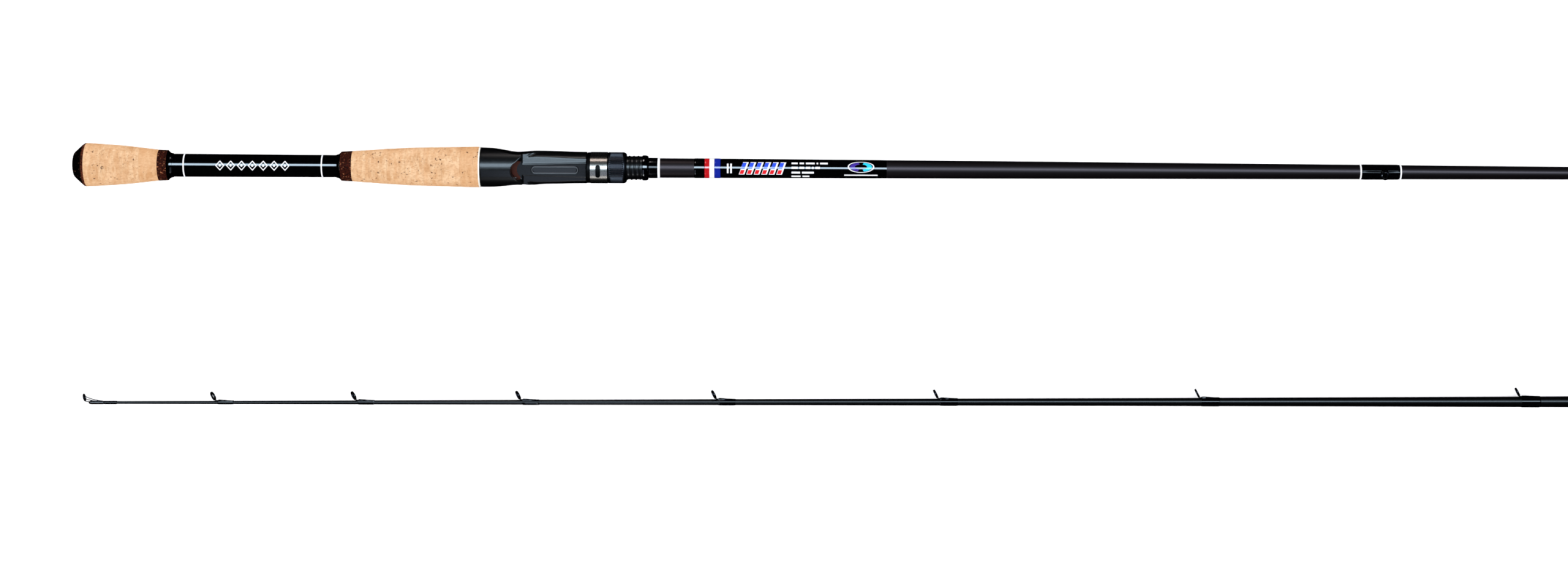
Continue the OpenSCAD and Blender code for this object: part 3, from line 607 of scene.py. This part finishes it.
def cork_grip(name, node, seed, pits, rings):
    """A grip of glued cork rings with real pits, seams and a slight unevenness."""
    draw = np.random.default_rng(seed)
    table = outer_radius(node)
    x0, x1 = span(node)
    seams = [x0 + (x1 - x0) * k / rings for k in range(1, rings)]
    step = 0.28 * MM
    rows = int((x1 - x0) / step)
    columns = 340
    x = np.repeat(np.linspace(x0, x1, rows)[:, None], columns, 1)
    angle = np.repeat((np.arange(columns) * TURN / columns)[None, :], rows, 0)
    smooth = np.interp(x[:, 0], [p[0] for p in table], [p[1] for p in table])
    wide = np.convolve(np.pad(smooth, 12, mode="edge"), np.ones(25) / 25, "valid")
    base = np.minimum(wide, smooth)[:, None] + 0 * x
    r = base.copy()
    for _ in range(10):
        wave = draw.uniform(60, 900), draw.integers(1, 9), draw.uniform(0, TURN)
        r += 0.012 * MM * np.sin(wave[0] * x + wave[1] * angle + wave[2]) - 0.006 * MM
    pit = np.zeros_like(x)
    pale = np.zeros_like(x)

    def stamp(cx, ca, half_x, half_a, turn, target, weight, depth):
        near = np.abs(x[:, 0] - cx) < 2.5 * max(half_x, half_a)
        rows_in = np.where(near)[0]
        if len(rows_in) == 0:
            return
        part = slice(rows_in[0], rows_in[-1] + 1)
        dx = x[part] - cx
        da = ((angle[part] - ca + math.pi) % TURN - math.pi) * base[part]
        u = (dx * math.cos(turn) + da * math.sin(turn)) / half_x
        v = (-dx * math.sin(turn) + da * math.cos(turn)) / half_a
        way = np.arctan2(v, u)
        rough = 1 + 0.3 * np.sin(3 * way + ca * 40) + 0.25 * np.sin(5 * way + ca * 90)
        hit = np.clip(1.9 * (1 - (u * u + v * v) * rough), 0, 1)
        target[part] = np.maximum(target[part], hit * weight)
        r[part] -= depth * hit

    clusters = [(draw.uniform(x0, x1), draw.uniform(0, TURN)) for _ in range(max(4, pits // 9))]
    for _ in range(pits):
        centre = clusters[draw.integers(len(clusters))] if draw.random() < 0.62 else (
            draw.uniform(x0, x1), draw.uniform(0, TURN))
        cx = np.clip(centre[0] + draw.normal(0, 3.2 * MM), x0 + 0.6 * MM, x1 - 0.6 * MM)
        big = draw.random() ** 3.2
        stamp(cx, centre[1] + draw.normal(0, 0.22), (0.26 + 0.68 * big) * MM, (0.20 + 0.34 * big) * MM,
              draw.normal(0, 0.8), pit, 0.7 + 0.3 * draw.random(), (0.10 + 0.25 * big) * MM)
    for _ in range(pits // 3):
        stamp(draw.uniform(x0, x1), draw.uniform(0, TURN), draw.uniform(1.0, 2.6) * MM,
              draw.uniform(0.14, 0.24) * MM, draw.normal(0, 0.12), pale, draw.uniform(0.3, 0.8), 0.03 * MM)
    for _ in range(pits // 6):
        stamp(draw.uniform(x0, x1), draw.uniform(0, TURN), draw.uniform(0.16, 0.22) * MM,
              draw.uniform(1.0, 3.2) * MM, draw.normal(0, 0.06), pit, draw.uniform(0.12, 0.35), 0.04 * MM)
    seam = np.zeros_like(x)
    tone = np.zeros_like(x)
    ring = np.searchsorted(np.array(seams), x[:, 0])
    tones = draw.uniform(0, 0.45, len(seams) + 1)
    tones[-1] = 0.85
    tone += tones[ring][:, None]
    for cx in seams:
        near = np.clip(1 - np.abs(x - cx) / (0.3 * MM), 0, 1)
        broken = 0.25 + 0.45 * np.clip(sum(
            np.sin(k * angle + draw.uniform(0, TURN)) for k in (2, 3, 5, 8, 13)) / 3, 0, 1)
        seam = np.maximum(seam, near * broken)
        r -= 0.05 * MM * near
    edge = np.minimum(x - x0, x1 - x)
    r -= 0.12 * MM * np.clip(1 - edge / (0.25 * MM), 0, 1) ** 2
    points = np.stack([x, r * np.sin(angle), r * np.cos(angle)], -1).reshape(-1, 3)
    bore = np.array([[px, pr * math.sin(a), pr * math.cos(a)]
                     for px, pr in ((x1, at(butt_table, x1)), (x0, at(butt_table, x0)))
                     for a in np.arange(columns) * TURN / columns])
    points = np.vstack([points, bore])
    faces = grid_faces(rows + 2, columns, close_rows=True)
    made = finish_mesh(name, points, faces, CORK, "butt_section", sharp=60)
    for key, values in (("pit", pit), ("pale", pale), ("seam", seam), ("ring_tone", tone)):
        data = np.concatenate([values.ravel(), np.zeros(2 * columns)]).astype(np.float32)
        made.data.attributes.new(key, "FLOAT", "POINT").data.foreach_set("value", data)
    tidy(made)
    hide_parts(node)
    return made


cork_grip("rear_cork_grip", "rear_cork_rings", 11, 130, 4)
cork_grip("main_cork_grip", "main_cork_rings", 23, 420, 7)

# ---- Reel seat ----


def remeshed(node, voxel, smooth):
    """Points and faces of a CAD node with evenly rounded edges."""
    source = NODES[node]
    mesh = source.data.copy()
    made = bpy.data.objects.new(node + "_work", mesh)
    bpy.context.scene.collection.objects.link(made)
    grid = made.modifiers.new("grid", "REMESH")
    grid.mode = "VOXEL"
    grid.voxel_size = voxel
    relax = made.modifiers.new("relax", "SMOOTH")
    relax.factor = 0.5
    relax.iterations = smooth
    result = bpy.data.meshes.new_from_object(made.evaluated_get(bpy.context.evaluated_depsgraph_get()))
    bpy.data.objects.remove(made)
    points = np.empty(len(result.vertices) * 3)
    result.vertices.foreach_get("co", points)
    return points.reshape(-1, 3), [f.vertices[:] for f in result.polygons]


hood_x0, hood_x1 = span("hood_liner")
collar_x0 = span("seat_collar")[0]
PITCH = 3.2 * MM
CREST = max(r for x, r in outer_radius("reel_seat") if hood_x1 + 12 * MM < x < collar_x0)
ROOT = CREST - 0.42 * MM
points, faces = remeshed("reel_seat", (0.34) * MM, 12)
radius = np.maximum(np.hypot(points[:, 1], points[:, 2]), 1e-6)
low = np.where(points[:, 0] > hood_x0 + 1.4 * MM, np.minimum(1, (ROOT - 0.3 * MM) / radius), 1)
points[:, 1:] *= low[:, None]
made = finish_mesh("reel_seat_body", points, faces, SEAT, "butt_section")
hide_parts("reel_seat")


def thread_shift(x, angle, r):
    """Right-hand round-topped thread with a straight key groove along its underside."""
    phase = (x / PITCH + angle / TURN) % 1.0
    rise = np.clip(1.15 - np.abs(phase - 0.5) * 4.2, 0, 1)
    rise = rise * rise * (3 - 2 * rise)
    start = np.clip((x - hood_x0 - 1 * MM) / (3 * MM), 0, 1)
    stop = np.clip((collar_x0 - 0.6 * MM - x) / (1.2 * MM), 0, 1)
    groove = np.clip((1.3 * MM - np.abs(np.sin(angle)) * r) / (0.12 * MM), 0, 1) * (np.cos(angle) < 0)
    groove = groove * (x < hood_x0 + 32 * MM)
    outer = r > ROOT - 0.2 * MM
    return np.where(outer, (CREST - ROOT) * rise * (start * stop) * (1 - groove) - 0.9 * MM * groove, 0)


barrel_x0 = hood_x0 - 1 * MM
barrel = refine([(barrel_x0, ROOT), (collar_x0, ROOT)], 0.2 * MM, closed=False)
barrel += [(collar_x0, ROOT - 0.88 * MM), (barrel_x0, ROOT - 0.88 * MM)]
made = lathe("reel_seat_thread", barrel, SEAT, segments=144, sharp=60, shift=thread_shift)


def pill_loops(x0, x1, half, insets, count=20):
    """Loops of a long plate with round ends, one for each (inset, height)."""
    loops = []
    for inset, z in insets:
        r = half - inset
        ends = [(x1 - half, -math.pi / 2), (x0 + half, math.pi / 2)]
        loop = [(cx + r * math.cos(a0 + math.pi * k / count), r * math.sin(a0 + math.pi * k / count), z)
                for cx, a0 in ends for k in range(count + 1)]
        loops.append(loop)
    return np.array(loops)


def pill(name, x0, x1, half, insets, paint):
    loops = pill_loops(x0, x1, half, insets)
    rows, columns = loops.shape[:2]
    faces = [list(f) for f in grid_faces(rows, columns)]
    faces.append(list(range(columns))[::-1])
    faces.append([(rows - 1) * columns + k for k in range(columns)])
    made = finish_mesh(name, loops.reshape(-1, 3), faces, paint, "butt_section", sharp=30)
    return made


panel_lo, panel_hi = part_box("seat_panel")
half = panel_hi.y
top = panel_hi.z
rim = [(0, panel_lo.z), (0, top - 0.06 * MM), (0.06 * MM, top), (0.45 * MM, top),
       (0.6 * MM, top - 0.14 * MM), (0.75 * MM, top - 0.14 * MM)]
made = pill("seat_panel_frame", panel_lo.x, panel_hi.x, half, rim, PANEL_RIM)
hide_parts("seat_panel")
inlay = [(0.62 * MM, top - 0.3 * MM), (0.62 * MM, top - 0.08 * MM), (0.72 * MM, top - 0.04 * MM),
         (1.1 * MM, top - 0.03 * MM)]
pill("seat_panel_inlay", panel_lo.x, panel_hi.x, half, inlay, PANEL)

# ---- Lock nut ----

nut_x0, nut_x1 = span("lock_nut")
nut_r = max(r for _, r in outer_radius("lock_nut"))
RIBS = 44


def rib_shift(x, angle, r):
    """Grooves between the grip ribs."""
    start = np.clip((x - nut_x0 - 1.4 * MM) / (0.5 * MM), 0, 1)
    stop = np.clip((nut_x1 - 2.2 * MM - x) / (0.5 * MM), 0, 1)
    wave = np.clip(1.35 * np.cos(RIBS * angle) + 0.35, 0, 1)
    return np.where(r > nut_r - 0.3 * MM, -0.5 * MM * wave * (start * stop), 0)


nut_line = [(nut_x0 + 3.3 * MM, CREST + 0.07 * MM), (nut_x1, CREST + 0.07 * MM),
            (nut_x1, nut_r - 1.25 * MM), (nut_x1 - 0.5 * MM, nut_r - 0.75 * MM),
            (nut_x1 - 1.5 * MM, nut_r - 0.1 * MM), (nut_x1 - 2.0 * MM, nut_r), (nut_x0 + 0.5 * MM, nut_r),
            (nut_x0, nut_r - 0.35 * MM), (nut_x0, 9.98 * MM), (nut_x0 + 3.3 * MM, 9.98 * MM)]
made = lathe("lock_nut_ribbed", refine(soften(nut_line, 0.2 * MM, 2), 0.35 * MM), NUT, "nut",
             segments=RIBS * 8, sharp=35, shift=rib_shift)
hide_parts("lock_nut")

# ---- Windings, guides and tip-top ----


def winding(name, node, place, table, body, thick, foot=None):
    """Thread over the blank, swollen over a guide's feet; foot is (its far ends, half width, height)."""
    x0, x1 = span(node, place)
    s = np.linspace(0, 1, 46)
    x = x0 + (x1 - x0) * s
    reach = (2.6 if foot else 0.9) * MM
    near_end = np.clip(np.minimum(x - x0, x1 - x) / reach, 0, 1)
    rise = np.sqrt(np.clip(1 - (1 - near_end) ** 2, 0, 1))
    top = np.array([at(table, v) for v in x]) + (0.012 + thick * rise) * MM
    outline = list(zip(x, [at(table, v) - 0.02 * MM for v in x])) + list(zip(x[::-1], top[::-1]))

    def shift(px, angle, r):
        if foot is None:
            return 0 * r
        middle, reach_low, reach_high, half, height = foot
        blank = np.interp(px, [p[0] for p in table], [p[1] for p in table])
        low = np.clip((px - middle + reach_low) / (5 * MM), 0, 1) if reach_low else 1.0
        high = np.clip((middle + reach_high - px) / (9 * MM), 0, 1)
        ends = np.clip((px - x0) / (0.7 * MM), 0, 1) * np.clip((x1 - px) / (0.7 * MM), 0, 1)
        tall = blank + height * low * high * np.sqrt(ends)
        sine = np.abs(np.sin(angle))
        cosine = np.cos(angle)
        flat = np.where(cosine > 0.05, tall / np.maximum(cosine, 0.05), 9)
        side = np.where(sine > 0.02, half / np.maximum(sine, 0.02), 9)
        box = np.where(cosine > 0, np.minimum(flat, side), 0)
        body_r = (np.maximum(r, 1e-6) ** 16 + np.minimum(box, 0.03) ** 16) ** (1 / 16)
        return np.where(r > blank, np.clip(body_r - r, 0, None), 0)

    made = lathe(name, outline, THREAD, body, place, segments=72, sharp=70, shift=shift)
    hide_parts(node)
    return made


def ring_facts(node, place):
    """Centre, axis and outside radius of a guide's insert in its section's axes."""
    p = place.inward(node_points(node))
    centre = (p.min(0) + p.max(0)) / 2
    _, _, rows = np.linalg.svd(p - p.mean(0), full_matrices=False)
    axis = rows[2] * np.sign(rows[2][0])
    away = (p - centre) - np.outer((p - centre) @ axis, axis)
    return centre, axis, np.linalg.norm(away, axis=1).max()


def ring_piece(name, facts, outline, paint, body, place, node, segments=64):
    centre, axis, _ = facts
    up_way = np.cross(axis, (0, 1, 0))
    up_way = up_way / np.linalg.norm(up_way)
    spot = Place(place.out([centre])[0], axis @ place.axes, up_way @ place.axes)
    made = lathe(name, outline, paint, body, spot, segments=segments, sharp=50)
    if node:
        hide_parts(node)
    return made


def strip_mesh(path, widths, thicks, place, around=12, power=2.6):
    """Points and faces of a bar with a soft rectangular section that follows a path."""
    path = np.array(path, float)
    count = 6 * (len(path) - 1) + 1
    t = np.linspace(0, len(path) - 1, count)
    knots = np.arange(len(path))
    line = np.stack([smooth_interp(t, knots, path[:, k]) for k in range(3)], -1)
    width = np.interp(t, knots, widths)
    thick = np.interp(t, knots, thicks)
    tangent = np.gradient(line, axis=0)
    tangent /= np.linalg.norm(tangent, axis=1)[:, None]
    side = np.array([0, 1.0, 0])
    points = []
    for p, d, w, h in zip(line, tangent, width, thick):
        across = side - d * np.dot(side, d)
        across /= np.linalg.norm(across)
        normal = np.cross(d, across)
        for k in range(around):
            a = TURN * k / around
            c, s = math.cos(a), math.sin(a)
            points.append(p + across * w / 2 * math.copysign(abs(c) ** (2 / power), c)
                          + normal * h / 2 * math.copysign(abs(s) ** (2 / power), s))
    faces = [list(f) for f in grid_faces(count, around)]
    faces.append(list(range(around))[::-1])
    faces.append([(count - 1) * around + k for k in range(around)])
    return place.out(points), faces


def smooth_interp(t, knots, values):
    """Catmull-Rom curve through the values."""
    i = np.clip(np.floor(t).astype(int), 0, len(knots) - 2)
    u = t - i
    a, b, c, d = (values[np.clip(i + k, 0, len(values) - 1)] for k in (-1, 0, 1, 2))
    return 0.5 * (2 * b + (c - a) * u + (2 * a - 5 * b + 4 * c - d) * u ** 2
                  + (3 * b - a - 3 * c + d) * u ** 3)


def joined(name, parts, paint, body, node=None):
    points = []
    faces = []
    for p, f in parts:
        start = len(points)
        points.extend(p)
        faces.extend([[v + start for v in face] for face in f])
    made = finish_mesh(name, points, faces, paint, body, sharp=50)
    tidy(made)
    if node:
        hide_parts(node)
    return made


def circle_outline(radius, wire, flat=1.0, count=20):
    return [(wire * flat * math.sin(TURN * k / count), radius + wire * math.cos(TURN * k / count))
            for k in range(count)]


def guide_ring_pair(name, ring_node, place, body, half=0.75):
    """Polished insert and the thin metal hoop that holds it."""
    facts = ring_facts(ring_node, place)
    r = facts[2]
    wire = 0.62 * MM
    ring_piece(name + "_insert", facts, circle_outline(r - wire, wire, 1.0), CERAMIC, body,
               place, ring_node)
    half *= MM
    hoop = [(-half, r - 0.6 * MM), (half, r - 0.6 * MM), (half, r - 0.2 * MM),
            (half * 0.7, r + 0.12 * MM), (-half * 0.7, r + 0.12 * MM), (-half, r - 0.2 * MM)]
    ring_piece(name + "_hoop", facts, soften(hoop, 0.15 * MM), GUIDE, body, place, None)
    return facts


def guide_legs(name, node, facts, place, table, body, ways):
    """Neck and feet of a guide; ways holds (direction of the foot, foot length)."""
    centre, axis, r = facts
    down = np.cross(axis, (0, 1, 0))
    down = down / np.linalg.norm(down) * (-1 if np.cross(axis, (0, 1, 0))[2] > 0 else 1)
    low = centre + down * r
    parts = []
    for way, length in ways:
        foot_x = low[0] + way * 0.9 * MM
        z = lambda px, lift: at(table, px) + lift * MM
        path = [centre + down * (r - 0.9 * MM), low, (low[0] + way * 0.25 * MM, 0, z(low[0], 0.42)),
                (foot_x + way * 0.9 * MM, 0, z(foot_x, 0.2)),
                (low[0] + way * length * 0.6, 0, z(low[0] + way * length * 0.6, 0.18)),
                (low[0] + way * length, 0, z(low[0] + way * length, 0.05))]
        widths = np.array([3.4, 2.1, 1.35, 1.7, 1.75, 0.9]) * MM
        thicks = np.array([0.5, 0.62, 0.62, 0.42, 0.36, 0.1]) * MM
        parts.append(strip_mesh(path, widths, thicks, place))
    return joined(name, parts, GUIDE, body, node)


for n in range(1, 8):
    base = f"guide_{n}"
    facts = guide_ring_pair(base, base + "_ring", TIP, "tip_section")
    wind_x0 = span(base + "_winding", TIP)[0]
    foot_x1 = span(base + "_frame", TIP)[1]
    low_x = facts[0][0] + facts[2] * 0.454
    guide_legs(base + "_legs", base + "_frame", facts, TIP, tip_table, "tip_section",
               [(1, foot_x1 - low_x - 0.3 * MM)])
    winding(base + "_thread", base + "_winding", TIP, tip_table, "tip_section", 0.2,
            (wind_x0, 0, foot_x1 - wind_x0 + 1 * MM, 1.15 * MM, 0.72 * MM))

facts = guide_ring_pair("stripper", "stripper_ring", BUTT, "butt_section")
frame_x0, frame_x1 = span("stripper_frame")
low_x = facts[0][0] - facts[2] * 0.5
guide_legs("stripper_legs", "stripper_frame", facts, BUTT, butt_table, "butt_section",
           [(-1, low_x - frame_x0 - 0.3 * MM), (1, frame_x1 - low_x - 0.3 * MM)])
winding("stripper_thread", "stripper_winding", BUTT, butt_table, "butt_section", 0.28,
        (low_x, low_x - frame_x0 + 1 * MM, frame_x1 - low_x + 1 * MM, 1.15 * MM, 0.72 * MM))
x0, x1 = span("stripper_trims")
for name, a, b in (("stripper_line_rear", x0, x0 + 1.2 * MM), ("stripper_line_front", x1 - 1.2 * MM, x1)):
    made = lathe(name, band_outline(a, b, 0.34), TRIM_WHITE)
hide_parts("stripper_trims")
winding("tip_ferrule_thread", "tip_ferrule_winding", TIP, tip_table, "tip_section", 0.4)
winding("tip_top_thread", "tip_top_winding", TIP, tip_table, "tip_section", 0.26)

facts = guide_ring_pair("tip_top", "tip_top_ring", TIP, "tip_section", 0.4)
centre, axis, r = facts
tube_x1 = span("tip_top_winding", TIP)[0]
tube_x0 = tube_x1 - 11.2 * MM
tube_r = 1.35 * MM
tube = [(tube_x0, 0), (tube_x0 + 0.05 * MM, 0.55 * MM), (tube_x0 + 0.7 * MM, 1.15 * MM),
        (tube_x0 + 1.6 * MM, tube_r), (tube_x1 - 0.2 * MM, tube_r), (tube_x1, tube_r - 0.15 * MM),
        (tube_x1, 1.06 * MM), (tube_x0 + 2 * MM, 1.06 * MM), (tube_x0 + 2 * MM, 0)]
made = lathe("tip_top_tube", refine(tube, 0.8 * MM), SOLE, "tip_section", TIP, segments=48)
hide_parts("tip_top_frame")
parts = []
for side in (-1, 1):
    start = centre + np.array([-0.35 * MM, side * (r - 0.25 * MM), 0.2 * MM])
    stop = np.array([tube_x0 + 10.4 * MM, side * 0.55 * MM, 1.0 * MM])
    path = [start + (stop - start) * t + np.array([0, 0, -0.7 * MM * math.sin(math.pi * t)])
            for t in (0, 0.25, 0.5, 0.75, 1)]
    parts.append(strip_mesh(path, [0.62 * MM] * 5, [0.62 * MM] * 5, TIP, 10, 2))
bottom = centre[2] - r
parts.append(strip_mesh([(centre[0] + 0.55 * MM, 0, bottom + 0.1 * MM), (tube_x0 + 0.2 * MM, 0, 0.55 * MM),
                         (tube_x0 + 1.4 * MM, 0, 0.1 * MM)], [1.0 * MM] * 3, [0.75 * MM] * 3, TIP, 10, 2))
joined("tip_top_struts", parts, GUIDE, "tip_section")

x0, x1 = span("tip_blank", TIP)
socket_x = x1 - 54 * MM
inner = [(x1, 3.45 * MM), (socket_x, 3.45 * MM), (socket_x, 2.6 * MM), (x0 + 0.4, 0.35 * MM),
         (x0, 0.35 * MM)]
made = lathe("tip_blank_graphite", blank_outline(tip_table, x0, x1) + inner, TIP_GRAPHITE, "tip_section",
             TIP, segments=80)
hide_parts("tip_blank")

# ---- Printed ornaments under the clear coat ----

FACING = math.radians(11.5)


def printed(name, cells, paint, lift=0.085):
    """Thin raised ink: each cell is a function of (u, v) in 0..1 giving station and arc in mm."""
    parts = []
    for cell, nu, nv in cells:
        u, v = np.meshgrid(np.linspace(0, 1, nu), np.linspace(0, 1, nv), indexing="ij")
        s, a = cell(u, v)
        s = s * MM
        radius = np.interp(s, [p[0] for p in butt_table], [p[1] for p in butt_table])
        angle = a * MM / radius + FACING
        layers = []
        for height in (lift, 0.02):
            rr = radius + height * MM
            layers.append(np.stack([s, rr * np.sin(angle), rr * np.cos(angle)], -1).reshape(-1, 3))
        points = np.vstack(layers)
        index = np.arange(nu * nv).reshape(nu, nv)
        quads = [[index[i, j], index[i + 1, j], index[i + 1, j + 1], index[i, j + 1]]
                 for i in range(nu - 1) for j in range(nv - 1)]
        faces = quads + [[k + nu * nv for k in f[::-1]] for f in quads]
        border = list(index[:, 0]) + list(index[-1, 1:]) + list(index[-2::-1, -1]) + list(index[0, -2:0:-1])
        for k, here in enumerate(border):
            there = border[(k + 1) % len(border)]
            faces.append([here, there, there + nu * nv, here + nu * nv])
        parts.append((points, faces))
    return joined(name, parts, paint, "butt_section")


def quad(s0, a0, s1, a1, s2, a2, s3, a3, nu=3, nv=8):
    """A four-cornered cell, corners in turn."""
    def cell(u, v):
        s = (1 - u) * ((1 - v) * s0 + v * s3) + u * ((1 - v) * s1 + v * s2)
        a = (1 - u) * ((1 - v) * a0 + v * a3) + u * ((1 - v) * a1 + v * a2)
        return s, a
    return cell, nu, nv


def bar_cell(s0, s1, a0, a1, slant=0.0):
    """A bar between two stations and two arcs whose top leans forward."""
    along = max(3, int((s1 - s0) / 2))
    across = max(3, int((a1 - a0) * 2))
    return quad(s0, a0, s1, a0, s1 + slant, a1, s0 + slant, a1, along, across)


def ring_cell(s0, a0, rs, ra, t0, t1, start=0.0, end=TURN, count=40):
    """Part of an oval ring, t0 and t1 as shares of its half sizes."""
    def cell(u, v):
        t = t0 + (t1 - t0) * v
        w = start + (end - start) * u
        return s0 + rs * t * np.cos(w), a0 + ra * t * np.sin(w)
    return cell, count, 4


white = []
for k in range(7):
    s = 106.5 + 7.8 * k
    for sx in (-1, 1):
        for sy in (-1, 1):
            white.append(quad(s + sx * 3.3, 0, s + sx * 2.45, 0, s, sy * 2.75, s, sy * 3.75, 3, 7))
    white.append(ring_cell(s, 0, 0.75, 0.9, 0.05, 1.0, count=14))
printed("grip_lozenges", white, PRINT_WHITE)

ticks = [bar_cell(s, s + 1.2, -3.6, 3.6) for s in (471.0, 473.4)]
printed("decal_ticks", ticks, PRINT_WHITE)
edge, blue, red = [], [], []
for k in range(6):
    s = 479.5 + 5.4 * k
    edge.append(bar_cell(s, s + 4.1, -4.6, 4.9, 3.2))
    blue.append(bar_cell(s + 1.45, s + 4.25, -0.4, 4.4, 1.6))
    red.append(bar_cell(s + 0.5, s + 3.3, -4.1, -1.1, 1.0))
printed("decal_bar_edges", edge, PRINT_WHITE, 0.085)
printed("decal_bars_blue", blue, PRINT_BLUE, 0.1)
printed("decal_bars_red", red, PRINT_RED, 0.1)
lines = []
for a, words in ((4.1, (4.5, 3.2, 6.4, 1.2, 5.6)), (0.7, (4.4, 3.4, 3.0, 1.2, 3.2)), (-2.8, (6.2, 8.6)),
                 (-6.2, (6.6, 5.0))):
    s = 517.5
    for word in words:
        lines.append(bar_cell(s, s + word, a - 0.75, a + 0.75))
        s += word + 1.3
printed("decal_lines", lines, PRINT_WHITE)
badge = (567.5, 1.6, 9.6, 4.2)
printed("decal_badge_edge", [ring_cell(*badge, 0.9, 1.0)], PRINT_WHITE, 0.1)
printed("decal_badge_light", [ring_cell(*badge, 0.45, 0.82, -1.3, 1.3)], PRINT_CYAN, 0.09)
printed("decal_badge_dark", [ring_cell(*badge, 0.45, 0.82, 1.8, 4.4)], PRINT_INDIGO, 0.09)
printed("decal_badge_line", [bar_cell(555.5, 579.5, -5.3, -4.2)], PRINT_WHITE)

# ---- Camera, light and floor ----

TILT = math.radians(13.7)
ROLL = math.radians(0.33)
to_camera = Vector((0, math.sin(TILT), math.cos(TILT)))
image_up = Vector((0, math.cos(TILT), -math.sin(TILT)))
AIM_X = 0.5126
AIM_DROP = 0.0872
DISTANCE = 2.288
look_at = Vector((AIM_X, 0, 0)) - AIM_DROP * image_up
right = math.cos(ROLL) * Vector((1, 0, 0)) + math.sin(ROLL) * image_up
up = -math.sin(ROLL) * Vector((1, 0, 0)) + math.cos(ROLL) * image_up
camera_data = bpy.data.cameras.new("camera")
camera_data.lens = 72.82
camera_data.sensor_width = 36
camera_data.clip_start = 0.1
camera_data.clip_end = 60
camera = bpy.data.objects.new("camera", camera_data)
bpy.context.scene.collection.objects.link(camera)
turn = Matrix((right, up, to_camera)).transposed().to_4x4()
camera.matrix_world = Matrix.Translation(look_at + DISTANCE * to_camera) @ turn
bpy.context.scene.camera = camera
bpy.context.scene.view_settings.view_transform = "Standard"

floor_paint = Paint("floor_white", Specular_IOR_Level=0.1, Roughness=0.9, Emission_Color=(1, 1, 1),
                    Emission_Strength=0.35)
floor_tone = floor_paint.mix(floor_paint.noise(3, 3), (0.95, 0.95, 0.955), (0.94, 0.94, 0.945))
floor_paint.set("Base Color", floor_tone)
floor_mesh = bpy.data.meshes.new("floor")
floor_z = cad_box[0].z
floor_mesh.from_pydata([(x * 20, y * 20, floor_z) for x, y in ((-1, -1), (1, -1), (1, 1), (-1, 1))], [],
                       [(0, 1, 2, 3)])
floor_mesh.materials.append(floor_paint.material)
floor = bpy.data.objects.new("floor", floor_mesh)
bpy.context.scene.collection.objects.link(floor)
floor.visible_glossy = False

world = bpy.data.worlds.new("studio")
world.use_nodes = True
world.node_tree.nodes["Background"].inputs["Color"].default_value = (0.96, 0.97, 1.0, 1)
world.node_tree.nodes["Background"].inputs["Strength"].default_value = 1.62
world.cycles_visibility.glossy = False
bpy.context.scene.world = world


def softbox(name, centre, target, width, length, power, colour):
    """A long area light whose length runs along X."""
    data = bpy.data.lights.new(name, "AREA")
    data.shape = "RECTANGLE"
    data.size = length
    data.size_y = width
    data.energy = power
    data.color = colour
    made = bpy.data.objects.new(name, data)
    made.visible_diffuse = False
    bpy.context.scene.collection.objects.link(made)
    back = (Vector(centre) - Vector(target)).normalized()
    side = Vector((1, 0, 0))
    side = (side - back * side.dot(back)).normalized()
    facing = Matrix((side, back.cross(side), back)).transposed().to_4x4()
    made.matrix_world = Matrix.Translation(centre) @ facing
    return made


key_angle = math.radians(21.5)
key_from = Vector((0.5, 1.3 * math.sin(key_angle), 1.3 * math.cos(key_angle)))
softbox("key", key_from, (0.5, 0, 0), 0.46, 2.4, 27, (0.66, 0.84, 1.0))
softbox("seat_fill", (0.275, -0.42, 0.78), (0.34, 0, 0), 0.62, 0.1, 0.30, (0.66, 0.78, 1.0))
softbox("hood_top", (0.32, 1.0, 0.12), (0.38, 0, 0), 0.3, 0.1, 0.5, (1.0, 0.93, 0.92))
softbox("hood_low", (0.33, -0.75, 0.45), (0.38, 0, 0), 0.25, 0.06, 0.25, (0.9, 0.95, 1.0))
